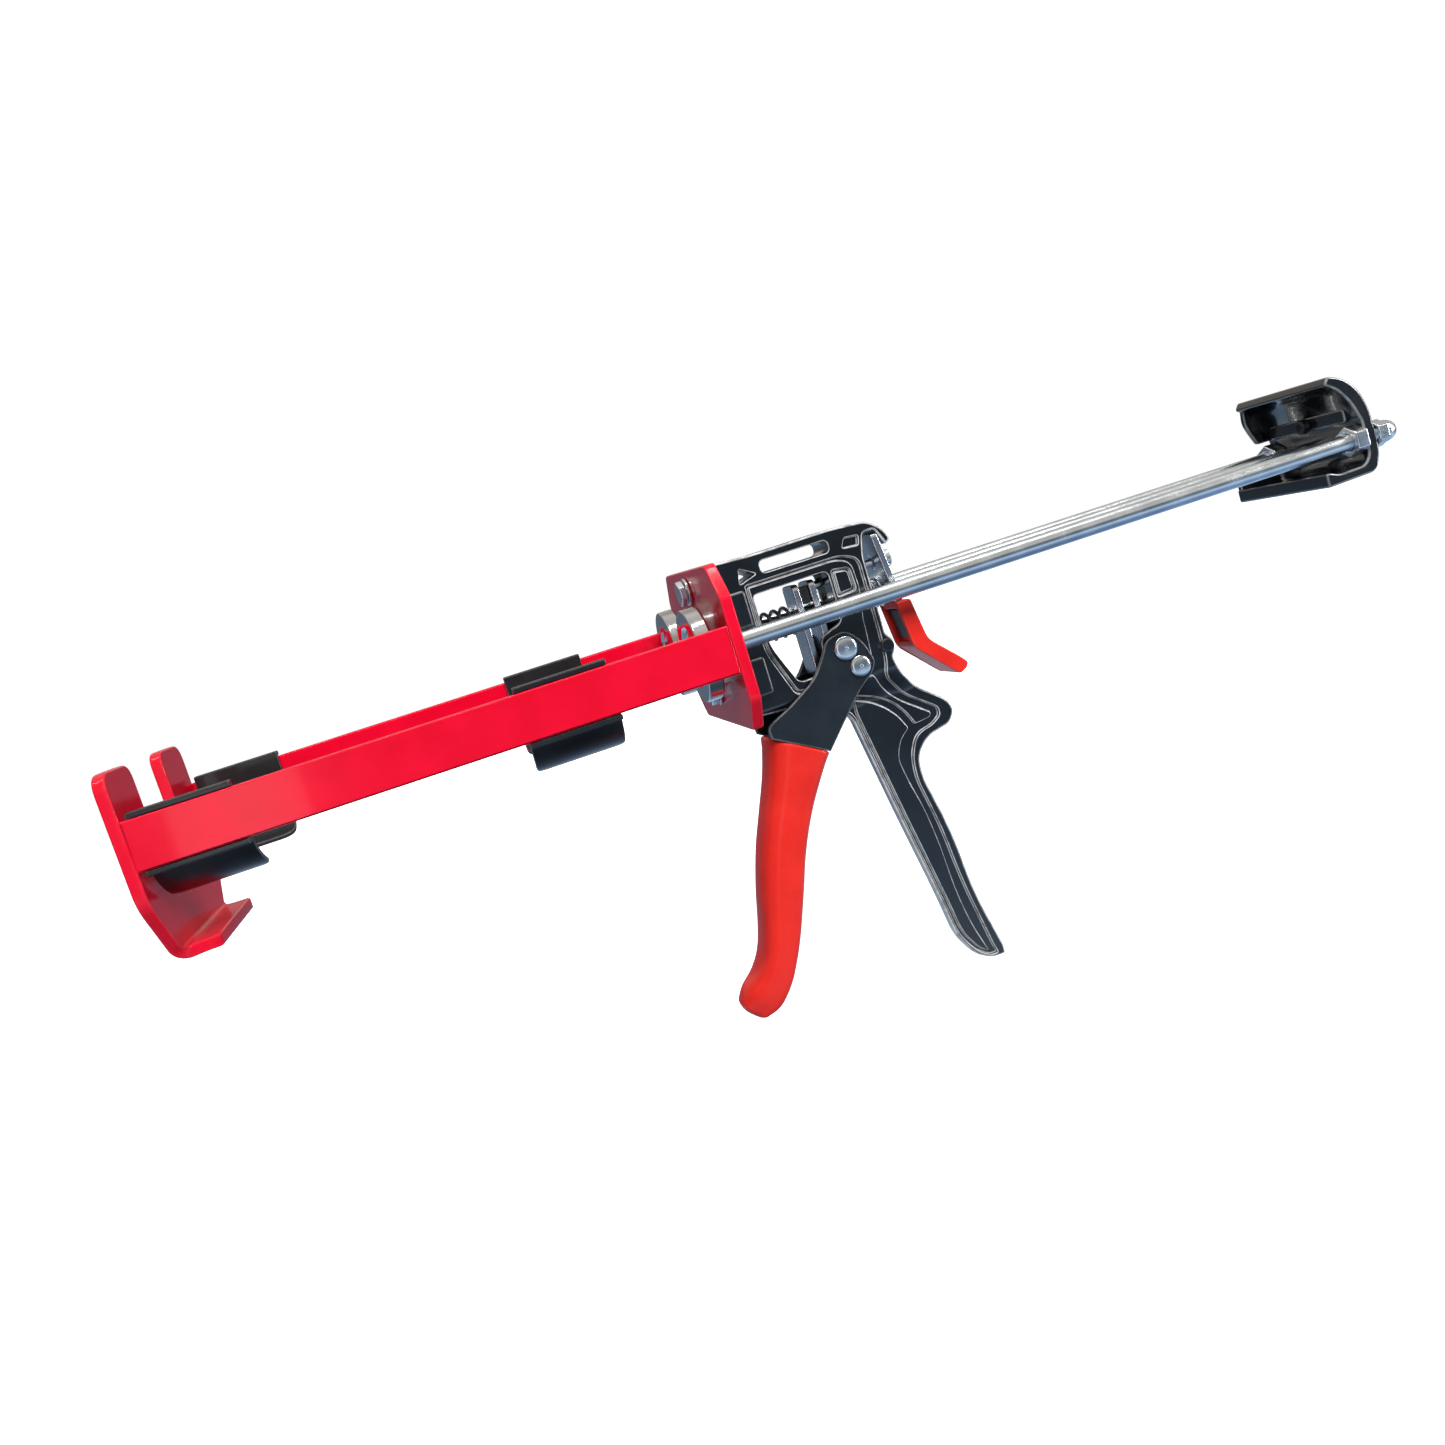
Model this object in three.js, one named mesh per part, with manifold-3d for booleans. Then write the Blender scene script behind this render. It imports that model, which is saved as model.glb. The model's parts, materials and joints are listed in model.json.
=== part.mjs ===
// A two-component caulking gun for side-by-side cartridges, as a scene graph of separate pieces.
// Millimetres, +Z up. X runs from the nozzle end (negative) to the pull yoke (positive), and -Y is the
// near side. X = 0 is the front face of the rear plate, Y = 0 and Z = 0 the axis of the centre drive rod.
import * as THREE from 'three';
import { mergeVertices } from 'three/addons/utils/BufferGeometryUtils.js';
import Module from 'manifold-3d';

const wasm = await Module();
wasm.setup();

// ---- driving dimensions ----
const GAP = 0.3; // clearance kept between touching pieces
const OVER = 2; // how far a cutting tool runs past the face it cuts

const BAY_LENGTH = 238; // between the two plates
const CAGE_WIDTH = 108; // over the outer faces of the side bars
const PLATE_THICK = 5;
const BAR_HEIGHT = 20;
const BAR_THICK = 3;

const ROD_RADIUS = 4;
const ROD_SPACING = 26; // push rod axis from the centre rod axis
const ROD_HOLE = ROD_RADIUS + 0.5;
const BARREL_RADIUS = 23; // cartridge barrel that a clip hugs

const HORN_TOP = 29;
const SLOT_HALF = 20.7;
const SLOT_CENTRE_Z = 3;
const LIP_DEPTH = 18; // bent lip at the foot of the front plate
const LIP_HALF = 34;
const FRONT_PLATE_FOOT = -50;
const SIDE_FOOT_Z = -22.3; // where the lower chamfers of the front plate start

const REAR_PLATE_HALF = 35.3;
const REAR_CHAMFER_Z = 21.6;
const REAR_CHAMFER_Y = 43.2;
const UPPER_BOLT_Z = 26;
const LOWER_BOLT_Z = -20;
const BOLT_RADIUS = 3;
const BOLT_END_X = 18; // how deep the frame bolts reach into the body

const CLIP_LENGTH = 38;
const CLIP_WALL = 2;
const CLIP_LIP = 2.2;
const CLIP_WING = [1.13 * Math.PI, 1.46 * Math.PI]; // the wing's arc round the barrel, near side
const FRONT_CLIP_X = -235.5;
const MIDDLE_CLIP_X = -88.5;

const BODY_HALF = 11; // half width of the cast body's housing
const HANDLE_HALF = 3; // and of its handle
const CAVITY_HALF = 8.4; // half width of the pocket that holds the drive plates
const BOSS_HALF = 16;

const PIVOT = [61.6, -27.9]; // trigger pivot, X and Z
const DRIVE_PIN = [57.3, -18.3];
const DRIVE_PIN_PULLED = [53.6, -21];
const PIN_RADIUS = 2.5;
const CHEEK_INNER = BODY_HALF + GAP;
const CHEEK_THICK = 2.5;
const CHEEK_OUTER = CHEEK_INNER + CHEEK_THICK;
const DIP_THICK = 2.3; // coating over the grip
const NECK_RISE = 6.5; // how far the grip's steel stands out of the coating's mouth

const DRIVE_PLATE_HALF = 8;
const DRIVE_PLATE_THICK = 3;
const FRONT_DRIVE_PLATE_X = 43.5;
const REAR_DRIVE_PLATE_X = 51.3;
const DRIVE_PLATE_TOP = 15;
const DRIVE_PLATE_FOOT = -27;
const SPRING_START_X = 18.6;
const STOP_PIN_Z = 11.5;
const STOP_PIN_END_X = 69;
const THIN_PIN_RADIUS = 2; // the stop pin, brake screw and lock screw shanks

const BRAKE_HALF = 11;
const BRAKE_SCREW_X = 72; // where its shank starts
const BRAKE_SCREW_Z = 13.5;
const LEG_GAP_HALF = 7.8; // the hole between the release lever's two legs
const LEG_GAP_TOP = -9.6;
const LEG_GAP_FOOT = -26;

const PISTON_RADIUS = 20.3;
const PISTON_FRONT_X = -12;
const PISTON_BACK_X = -5;
const PISTON_DISH = 1.5; // depth of the hollow in a piston's face
const SCREW_RADIUS = 2.6; // the screws that hold the pistons
const SCREW_END_X = 11;
const ROD_END_X = 334;
const WEB_FRONT_X = 321.5;
const WEB_BACK_X = 327;
const YOKE_HALF = 30;
const FAR_WEB_THICK = 3; // the webs that close the yoke's far end
const FAR_WEB_INSET = 0.2;
const NUT_THICK = 6.5;
const NUT_RADIUS = 7.5; // across the corners
const LOCK_SCREW_Z = 12;

const ROUND = 18; // facets round a rod or screw
const PISTON_FACETS = 32;
const CURVE = 4; // facets in a rounded corner
const LONGEST_CUT = 0.45; // the most of an edge that one rounded corner may take

// ---- materials ----
function paint(color, roughness, metalness) {
  return new THREE.MeshStandardMaterial({ color, roughness, metalness });
}
const RED_PAINT = () => paint(0xd9102b, 0.3, 0.1);
const RED_DIP = () => paint(0xe8331f, 0.45, 0);
const BLACK_CAST = () => paint(0x15181c, 0.3, 0.2);
const BLACK_PLASTIC = () => paint(0x1c1e20, 0.45, 0);
const BLACK_STEEL = () => paint(0x1a1d22, 0.35, 0.4);
const ZINC = () => paint(0xb9c2cb, 0.3, 0.9);

// ---- shape helpers ----
const AXIS_X = new THREE.Vector3(1, 0, 0);
const AXIS_Y = new THREE.Vector3(0, 1, 0);
const AXIS_Z = new THREE.Vector3(0, 0, 1);

/** A closed outline from corners [u, v, cut]; each corner is rounded, starting cut before it. */
function outline(corners) {
  const shape = new THREE.Shape();
  const count = corners.length;
  corners.forEach(([u, v, cut = 0], index) => {
    const here = new THREE.Vector2(u, v);
    const before = new THREE.Vector2(...corners[(index + count - 1) % count].slice(0, 2)).sub(here);
    const after = new THREE.Vector2(...corners[(index + 1) % count].slice(0, 2)).sub(here);
    const reach = Math.min(cut, LONGEST_CUT * before.length(), LONGEST_CUT * after.length());
    const start = before.setLength(reach).add(here);
    const end = after.setLength(reach).add(here);
    if (index === 0) {
      shape.moveTo(start.x, start.y);
    } else {
      shape.lineTo(start.x, start.y);
    }
    if (reach > 0) {
      shape.quadraticCurveTo(u, v, end.x, end.y);
    }
  });
  return shape;
}

function rectangle(u0, v0, u1, v1, cut = 0) {
  return outline([[u0, v0, cut], [u1, v0, cut], [u1, v1, cut], [u0, v1, cut]]);
}

function extrude(shape, depth) {
  return new THREE.ExtrudeGeometry(shape, { depth, bevelEnabled: false, curveSegments: CURVE });
}

/** Extrudes an outline drawn in (Y, Z) from x0 to x1. */
function alongX(shape, x0, x1) {
  const geometry = extrude(shape, x1 - x0);
  geometry.applyMatrix4(new THREE.Matrix4().makeBasis(AXIS_Y, AXIS_Z, AXIS_X));
  return geometry.translate(x0, 0, 0);
}

/** Extrudes an outline drawn in (X, Z) from y0 to y1. */
function alongY(shape, y0, y1) {
  const geometry = extrude(shape, y1 - y0);
  geometry.applyMatrix4(new THREE.Matrix4().makeBasis(AXIS_X, AXIS_Z, AXIS_Y.clone().negate()));
  return geometry.translate(0, y1, 0);
}

/** Extrudes an outline drawn in (X, Y) from z0 to z1. */
function alongZ(shape, z0, z1) {
  return extrude(shape, z1 - z0).translate(0, 0, z0);
}

/** Turns a profile of [radius, x] points round a line along X through (y, z). */
function turnedX(profile, y = 0, z = 0, facets = ROUND) {
  const points = profile.map(([radius, x]) => new THREE.Vector2(radius, x));
  return new THREE.LatheGeometry(points, facets).rotateZ(-Math.PI / 2).translate(0, y, z);
}

/** Turns a profile of [radius, y] points round a line along Y through (x, z). */
function turnedY(profile, x, z, facets = ROUND) {
  const points = profile.map(([radius, y]) => new THREE.Vector2(radius, y));
  return new THREE.LatheGeometry(points, facets).translate(x, 0, z);
}

function barX(radius, x0, x1, y = 0, z = 0, facets = ROUND) {
  return turnedX([[0, x0], [radius, x0], [radius, x1], [0, x1]], y, z, facets);
}

function barY(radius, y0, y1, x, z, facets = ROUND) {
  return turnedY([[0, y0], [radius, y0], [radius, y1], [0, y1]], x, z, facets);
}

function mirroredY(solidPiece) {
  return solidPiece.mirror([0, 1, 0]);
}

// ---- booleans ----
function solid(geometry) {
  const bare = geometry.clone();
  bare.deleteAttribute('normal');
  bare.deleteAttribute('uv');
  const merged = mergeVertices(bare, 1e-3);
  const index = merged.index.array;
  const corners = [];
  for (let first = 0; first < index.length; first += 3) {
    const [a, b, c] = index.slice(first, first + 3);
    if (a !== b && b !== c && c !== a) {
      corners.push(a, b, c);
    }
  }
  return new wasm.Manifold(new wasm.Mesh({
    numProp: 3,
    vertProperties: new Float32Array(merged.attributes.position.array),
    triVerts: new Uint32Array(corners),
  }));
}

function geometryOf(manifold) {
  const mesh = manifold.getMesh();
  const geometry = new THREE.BufferGeometry();
  geometry.setAttribute('position', new THREE.BufferAttribute(mesh.vertProperties, mesh.numProp));
  geometry.setIndex(new THREE.BufferAttribute(mesh.triVerts, 1));
  geometry.computeVertexNormals();
  return geometry;
}

function cut(body, ...tools) {
  return tools.reduce((left, tool) => left.subtract(tool), body);
}

function join(...bodies) {
  return bodies.reduce((left, body) => left.add(body));
}

// ---- the assembly ----
const gun = new THREE.Group();

function place(name, shape, material) {
  const geometry = shape.isBufferGeometry ? geometryOf(solid(shape)) : geometryOf(shape);
  const mesh = new THREE.Mesh(geometry, material);
  mesh.name = name;
  gun.add(mesh);
}

// ---- red cage ----
function frontPlate() {
  const side = CAGE_WIDTH / 2;
  const face = outline([
    [-side, SIDE_FOOT_Z, 3], [-side, HORN_TOP, 8], [-SLOT_HALF, HORN_TOP, 7], [-SLOT_HALF, SLOT_CENTRE_Z],
    ...slotArc(), [SLOT_HALF, SLOT_CENTRE_Z], [SLOT_HALF, HORN_TOP, 7], [side, HORN_TOP, 8],
    [side, SIDE_FOOT_Z, 3], [LIP_HALF, FRONT_PLATE_FOOT, 6], [-LIP_HALF, FRONT_PLATE_FOOT, 6],
  ]);
  const front = -BAY_LENGTH - PLATE_THICK;
  const plate = solid(alongX(face, front, -BAY_LENGTH));
  const lipSide = LIP_HALF - 3;
  const lipShape = outline([
    [front, -lipSide], [front + LIP_DEPTH, -lipSide, 9], [front + LIP_DEPTH, lipSide, 9], [front, lipSide],
  ]);
  const lipTop = FRONT_PLATE_FOOT + PLATE_THICK;
  const lip = solid(alongZ(lipShape, FRONT_PLATE_FOOT, lipTop));
  const bendSize = 4;
  const bend = solid(alongY(outline([
    [-BAY_LENGTH - 1, lipTop - 1], [-BAY_LENGTH + bendSize, lipTop - 1], [-BAY_LENGTH + bendSize, lipTop],
    [-BAY_LENGTH, lipTop + bendSize], [-BAY_LENGTH - 1, lipTop + bendSize],
  ]), -lipSide + 1, lipSide - 1));
  return join(plate, lip, bend);
}

/** The round foot of the outlet slot, from the near side to the far side. */
function slotArc() {
  const steps = 12;
  const points = [];
  for (let step = 1; step < steps; step += 1) {
    const angle = Math.PI * (1 + step / steps);
    points.push([SLOT_HALF * Math.cos(angle), SLOT_CENTRE_Z + SLOT_HALF * Math.sin(angle)]);
  }
  return points;
}

function rearPlate() {
  const side = CAGE_WIDTH / 2;
  const corner = 2.5;
  const face = outline([
    [-side, -REAR_CHAMFER_Z, corner], [-REAR_CHAMFER_Y, -REAR_PLATE_HALF, corner],
    [REAR_CHAMFER_Y, -REAR_PLATE_HALF, corner], [side, -REAR_CHAMFER_Z, corner],
    [side, REAR_CHAMFER_Z, corner], [REAR_CHAMFER_Y, REAR_PLATE_HALF, corner],
    [-REAR_CHAMFER_Y, REAR_PLATE_HALF, corner], [-side, REAR_CHAMFER_Z, corner],
  ]);
  const holes = [-ROD_SPACING, 0, ROD_SPACING].map((y) => rodHole(y, -OVER, PLATE_THICK + OVER));
  const boltHoles = [UPPER_BOLT_Z, LOWER_BOLT_Z].map((z) => boltHole(z, -OVER, PLATE_THICK + OVER));
  return cut(solid(alongX(face, 0, PLATE_THICK)), ...holes, ...boltHoles);
}

function rodHole(y, x0, x1) {
  return solid(barX(ROD_HOLE, x0, x1, y));
}

function boltHole(z, x0, x1) {
  return solid(barX(BOLT_RADIUS + GAP, x0, x1, 0, z));
}

function sideBar(side) {
  const outer = side * CAGE_WIDTH / 2;
  const inner = side * (CAGE_WIDTH / 2 - BAR_THICK);
  const section = rectangle(
    Math.min(outer, inner), -BAR_HEIGHT / 2, Math.max(outer, inner), BAR_HEIGHT / 2, 1.2,
  );
  return alongX(section, -BAY_LENGTH + GAP, -GAP);
}

/** A cartridge clip: a channel snapped over the bar from inside, with a wing under the barrel. */
function clip(side, start) {
  const outer = -CAGE_WIDTH / 2;
  const barInner = outer + BAR_THICK;
  const wallFront = barInner + GAP + CLIP_WALL;
  const lipInner = BAR_HEIGHT / 2 + GAP;
  const lipOuter = lipInner + CLIP_LIP;
  const channel = solid(alongX(outline([
    [outer, lipInner], [outer, lipOuter, 1], [wallFront, lipOuter, 1], [wallFront, -lipOuter, 1],
    [outer, -lipOuter, 1], [outer, -lipInner], [barInner + GAP, -lipInner], [barInner + GAP, lipInner],
  ]), start, start + CLIP_LENGTH));
  const inside = BARREL_RADIUS + GAP;
  const outside = inside + CLIP_WALL;
  const [first, last] = CLIP_WING;
  const arc = (radius, from, to) => {
    const steps = 8;
    return Array.from({ length: steps + 1 }, (_, step) => {
      const angle = from + ((to - from) * step) / steps;
      return [-ROD_SPACING + radius * Math.cos(angle), radius * Math.sin(angle)];
    });
  };
  const wing = solid(alongX(
    outline([...arc(outside, first, last), ...arc(inside, last, first)]), start, start + CLIP_LENGTH,
  ));
  const piece = join(channel, wing);
  return side < 0 ? piece : mirroredY(piece);
}

function hexBolt(z) {
  const headFront = -4.8;
  const headBack = -1.8;
  const head = solid(turnedX(
    [[0, headFront], [5.2, headFront], [5.77, headFront + 0.6], [5.77, headBack], [0, headBack]], 0, z, 6,
  ));
  return join(head, solid(barX(BOLT_RADIUS, headBack - 0.5, BOLT_END_X, 0, z)));
}

function washer(innerRadius, outerRadius, x0, x1, y, z) {
  return turnedX(
    [[innerRadius, x0], [outerRadius, x0], [outerRadius, x1], [innerRadius, x1], [innerRadius, x0]], y, z,
  );
}

// ---- cast body: a wide housing with a thin rear handle below it ----
const HOUSING = [
  [5.3, 34.8, 2], [30, 33.6, 4], [66, 34, 4], [84, 32.8, 5], [90.5, 27.5, 3], [93, 21.8, 1.5],
  [90, 20, 1], [86.5, 28, 1.5], [81, 28, 2], [78.5, 18, 2], [78.5, -18, 1], [81, -21, 1.2],
  [81, -26, 1.2], [79, -29, 1], [80.3, -36.4, 3], [83.6, -42, 2], [52.4, -42, 2], [49, -45.5, 2],
  [40, -38, 5], [5.3, -35.3, 2],
];
const HANDLE = [
  [56, -36], [76, -36], [82.4, -37.4, 1], [88.4, -46.7, 4], [100.8, -56.6, 3], [103.4, -62.7, 3],
  [99.6, -68.3, 3], [87.1, -70.8, 5], [80.5, -77.9, 5], [79.8, -88.1, 6], [85.6, -115.6, 12],
  [88.4, -149.6, 12], [94.1, -177.2, 3], [93.7, -182.1, 1.5], [87.1, -181.9, 3], [80, -177.1, 5],
  [73.9, -166.4, 6], [70.5, -143.1, 10], [63.3, -102.9, 12], [54.7, -50.5, 4], [53, -42, 1],
];

function windowCuts() {
  const railSlot = rectangle(31.5, 24.2, 64, 29.8, 2.5);
  const braceHole = outline([[20.5, 20.8, 1], [28.5, 24.2, 1], [21.8, 29, 1]]);
  const driveWindow = outline([
    [24.5, 16.2, 2], [60.5, 16.6, 3], [60.5, -7, 3], [49, -11, 3], [46.5, -26.5, 2], [34, -27, 3],
    [27, -10, 2], [24.5, 0, 2],
  ]);
  return [railSlot, braceHole, driveWindow].map(
    (shape) => solid(alongY(shape, -BOSS_HALF - OVER, BOSS_HALF + OVER)),
  );
}

function castBody() {
  const bodyStart = PLATE_THICK + GAP;
  const housing = solid(alongY(outline(HOUSING), -BODY_HALF, BODY_HALF));
  const handle = solid(alongY(outline(HANDLE), -HANDLE_HALF, HANDLE_HALF));
  const upperBoss = solid(alongY(rectangle(bodyStart, 4, 17, 20, 2), -BOSS_HALF, BOSS_HALF));
  const lowerBoss = solid(alongY(rectangle(bodyStart, -27, 17, -10, 2), -BOSS_HALF, BOSS_HALF));
  const cavity = solid(alongY(outline([
    [24.5, -27], [24.5, 16.2], [62, 16.2], [62, -31], [34, -31],
  ]), -CAVITY_HALF, CAVITY_HALF));
  const springSeat = solid(barX(8, SPRING_START_X - GAP, 25));
  const pinSlot = solid(alongY(capsule(DRIVE_PIN, DRIVE_PIN_PULLED, PIN_RADIUS + 0.5), -BODY_HALF - OVER,
    BODY_HALF + OVER));
  const pivotHole = solid(barY(PIN_RADIUS + GAP, -BODY_HALF - OVER, BODY_HALF + OVER, ...PIVOT));
  const thinHole = THIN_PIN_RADIUS + GAP;
  const stopPinHole = solid(barX(thinHole, 60, STOP_PIN_END_X + 1, 0, STOP_PIN_Z));
  const brakeScrewHole = solid(barX(thinHole, BRAKE_SCREW_X - 1, 90, 0, BRAKE_SCREW_Z));
  const boltHoles = [UPPER_BOLT_Z, LOWER_BOLT_Z].map((z) => boltHole(z, 0, BOLT_END_X + 1));
  const rodBore = solid(barX(ROD_HOLE, 0, 100));
  return cut(
    join(housing, handle, upperBoss, lowerBoss), ...windowCuts(), cavity, springSeat, pinSlot, pivotHole,
    stopPinHole, brakeScrewHole, ...boltHoles, rodBore,
  );
}

/** The outline that a round pin of this radius sweeps from one place to another. */
function capsule(from, to, radius) {
  const start = new THREE.Vector2(...from);
  const end = new THREE.Vector2(...to);
  const heading = end.clone().sub(start).angle();
  const shape = new THREE.Shape();
  shape.absarc(end.x, end.y, radius, heading - Math.PI / 2, heading + Math.PI / 2);
  shape.absarc(start.x, start.y, radius, heading + Math.PI / 2, heading + Math.PI * 1.5);
  return shape;
}

// ---- trigger ----
// The arm between the grip and the two rivets; its last edge runs along the sleeve's mouth.
const LEVER_ARM = [
  [19.5, -41.5, 3], [25.6, -35, 5], [40, -27, 6], [46, -19, 5], [50, -12, 4], [60, -10.5, 4],
  [66.5, -18, 4], [69.5, -28, 4], [66.7, -32.5, 3], [57.8, -39, 5], [37.8, -60.3], [16.5, -47.8],
];
// Stations down the sleeve, each a front X and Z, a rear X and Z and a half width, from mouth to toe.
const GRIP = [
  [13.6, -46.7, 38, -61, 14.3], [8.6, -63.3, 30.6, -71.7, 13.6], [2.2, -78.8, 22.4, -85, 13],
  [-4.4, -95, 14.8, -100.6, 13], [-9.9, -112.5, 8.1, -118.4, 13], [-14, -129, 1.8, -134.6, 12.8],
  [-17.7, -140, -3.3, -145.8, 12.4], [-23, -147.8, -8.9, -156, 11.6], [-29.6, -153.4, -16.2, -164.6, 10],
  [-33, -158, -23, -168, 7.5],
];
// Half a section across the grip, as shares of its depth and half width, from the round front to the rear.
const GRIP_SECTION = [
  [0, 0.25], [0.04, 0.55], [0.12, 0.78], [0.27, 0.94], [0.45, 1], [0.86, 1], [0.97, 0.9], [1, 0.7],
];

/** A closed skin through rings of equally many points, with a flat end on the first and last ring. */
function loft(rings) {
  const count = rings[0].length;
  const index = [];
  for (let ring = 1; ring < rings.length; ring += 1) {
    for (let side = 0; side < count; side += 1) {
      const here = (ring - 1) * count + side;
      const next = (ring - 1) * count + ((side + 1) % count);
      index.push(here, next, next + count, here, next + count, here + count);
    }
  }
  const last = (rings.length - 1) * count;
  for (let side = 2; side < count; side += 1) {
    index.push(0, side, side - 1, last, last + side - 1, last + side);
  }
  const geometry = new THREE.BufferGeometry();
  geometry.setAttribute('position', new THREE.Float32BufferAttribute(rings.flat(2), 3));
  geometry.setIndex(index);
  return geometry;
}

/** The grip's shape drawn in by an inset all round, and carried on past the mouth by a rise. */
function gripShape(inset, rise) {
  const ringAt = ([frontX, frontZ, rearX, rearZ, half], lift) => {
    const front = new THREE.Vector2(frontX, frontZ);
    const rear = new THREE.Vector2(rearX, rearZ);
    const across = rear.clone().sub(front).normalize();
    const up = new THREE.Vector2(-across.y, across.x).multiplyScalar(lift);
    front.addScaledVector(across, inset).add(up);
    rear.addScaledVector(across, -inset).add(up);
    const side = GRIP_SECTION.map(([depth, share]) => {
      const point = front.clone().lerp(rear, depth);
      return [point.x, share * (half - inset), point.y];
    });
    const otherSide = side.map(([x, y, z]) => [x, -y, z]).reverse();
    return [...side, ...otherSide];
  };
  const rings = GRIP.map((station, index) => ringAt(station, index === GRIP.length - 1 ? inset : 0));
  if (rise > 0) {
    rings.unshift(ringAt(GRIP[0], rise));
  }
  return solid(loft(rings));
}

function triggerLever() {
  const arm = solid(alongY(outline(LEVER_ARM), -CHEEK_OUTER, -CHEEK_INNER));
  const lever = join(arm, mirroredY(arm), gripShape(DIP_THICK + GAP, NECK_RISE));
  return cut(lever, ...[PIVOT, DRIVE_PIN].map(
    (at) => solid(barY(PIN_RADIUS + GAP, -CHEEK_OUTER - OVER, CHEEK_OUTER + OVER, ...at)),
  ));
}

function triggerSleeve() {
  return cut(gripShape(0, 0), gripShape(DIP_THICK, OVER));
}

/** A rivet across the body with a domed head outside each trigger cheek. */
function rivet(at, headRadius) {
  const under = CHEEK_OUTER + GAP;
  const rim = under + 1;
  const crown = under + 2.2;
  return turnedY([
    [0, -crown], [headRadius * 0.7, -crown + 0.4], [headRadius, -rim], [headRadius, -under],
    [PIN_RADIUS, -under], [PIN_RADIUS, under], [headRadius, under], [headRadius, rim],
    [headRadius * 0.7, crown - 0.4], [0, crown],
  ], ...at);
}

// ---- ratchet drive ----
function drivePlate(start) {
  const face = rectangle(-DRIVE_PLATE_HALF, DRIVE_PLATE_FOOT, DRIVE_PLATE_HALF, DRIVE_PLATE_TOP, 3);
  const end = start + DRIVE_PLATE_THICK;
  return cut(solid(alongX(face, start, end)), rodHole(0, start - OVER, end + OVER));
}

function drivePlateSpacer() {
  const start = FRONT_DRIVE_PLATE_X + DRIVE_PLATE_THICK + GAP;
  return alongX(rectangle(-6, 5.2, 6, 13, 1), start, REAR_DRIVE_PLATE_X - GAP);
}

/** A coil spring round a line along X. */
function coil(x0, x1, radius, wire, turns, z = 0) {
  const steps = turns * 12;
  const points = Array.from({ length: steps + 1 }, (_, step) => {
    const angle = (step / 12) * Math.PI * 2;
    const x = x0 + wire + ((x1 - x0 - 2 * wire) * step) / steps;
    return new THREE.Vector3(x, radius * Math.cos(angle), z + radius * Math.sin(angle));
  });
  const section = new THREE.Shape();
  section.absarc(0, 0, wire, 0, Math.PI * 2);
  return new THREE.ExtrudeGeometry(section, {
    steps, bevelEnabled: false, curveSegments: 3, extrudePath: new THREE.CatmullRomCurve3(points),
  });
}

function plateStopPin() {
  const start = REAR_DRIVE_PLATE_X + DRIVE_PLATE_THICK + GAP;
  return barX(THIN_PIN_RADIUS, start, STOP_PIN_END_X, 0, STOP_PIN_Z);
}

// ---- brake and thumb release ----
function brakePlate() {
  const plate = solid(alongY(outline([
    [84, 26.3, 0.8], [87.2, 26.3, 0.8], [91, -6.1], [87.8, -6.1],
  ]), -BRAKE_HALF, BRAKE_HALF));
  return cut(plate, solid(barX(ROD_HOLE + 0.5, 80, 96)), solid(barX(3.2, 80, 96, 0, BRAKE_SCREW_Z)));
}

/** The dipped thumb lever: two legs from a cross strip down to the bent tongue. */
function releaseLever() {
  const bent = solid(alongY(outline([
    [87.8, -6.4], [94.2, -6.4, 1.5], [97.3, -26.5, 3], [110.8, -40, 2.5], [111.8, -44, 2],
    [107.6, -46.6, 2], [90.4, -28.4, 3],
  ]), -BRAKE_HALF, BRAKE_HALF));
  const opening = rectangle(-LEG_GAP_HALF, LEG_GAP_FOOT, LEG_GAP_HALF, LEG_GAP_TOP, 1);
  return cut(bent, solid(alongX(opening, 80, 100)));
}

function releaseBlock() {
  return alongY(outline([
    [86.2, -10, 1], [92.6, -10, 1], [94.6, -24, 1], [87.6, -24, 1],
  ]), -LEG_GAP_HALF + GAP, LEG_GAP_HALF - GAP);
}

function brakeScrew() {
  return turnedX([
    [0, BRAKE_SCREW_X], [THIN_PIN_RADIUS, BRAKE_SCREW_X], [THIN_PIN_RADIUS, 89.9], [4, 89.9], [4, 92.6],
    [3, 93.8], [0, 93.8],
  ], 0, BRAKE_SCREW_Z);
}

// ---- rods, pistons and yoke ----
function driveRod() {
  const chamfer = 0.8;
  return turnedX([
    [0, 0], [ROD_RADIUS - chamfer, 0], [ROD_RADIUS, chamfer], [ROD_RADIUS, ROD_END_X], [0, ROD_END_X],
  ]);
}

/** A push rod with a blind hole in its front end for the piston screw. */
function pushRod(y) {
  const bore = SCREW_RADIUS + GAP;
  const bottom = SCREW_END_X + 1;
  const mouth = PISTON_BACK_X + GAP;
  return turnedX([
    [0, bottom], [bore, bottom], [bore, mouth], [ROD_RADIUS, mouth], [ROD_RADIUS, ROD_END_X], [0, ROD_END_X],
  ], y);
}

function piston(y) {
  const bore = SCREW_RADIUS + GAP;
  const dish = PISTON_FRONT_X + PISTON_DISH;
  return turnedX([
    [bore, dish], [12, dish], [14.5, PISTON_FRONT_X], [PISTON_RADIUS - 1, PISTON_FRONT_X],
    [PISTON_RADIUS, PISTON_FRONT_X + 1], [PISTON_RADIUS, PISTON_BACK_X - 0.8],
    [PISTON_RADIUS - 0.8, PISTON_BACK_X], [bore, PISTON_BACK_X], [bore, dish],
  ], y, 0, PISTON_FACETS);
}

function pistonScrew(y) {
  const seat = PISTON_FRONT_X + PISTON_DISH - GAP;
  return turnedX([
    [0, seat - 2.6], [3.6, seat - 2.6], [5, seat - 1], [5, seat], [SCREW_RADIUS, seat],
    [SCREW_RADIUS, SCREW_END_X], [0, SCREW_END_X],
  ], y);
}

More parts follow.
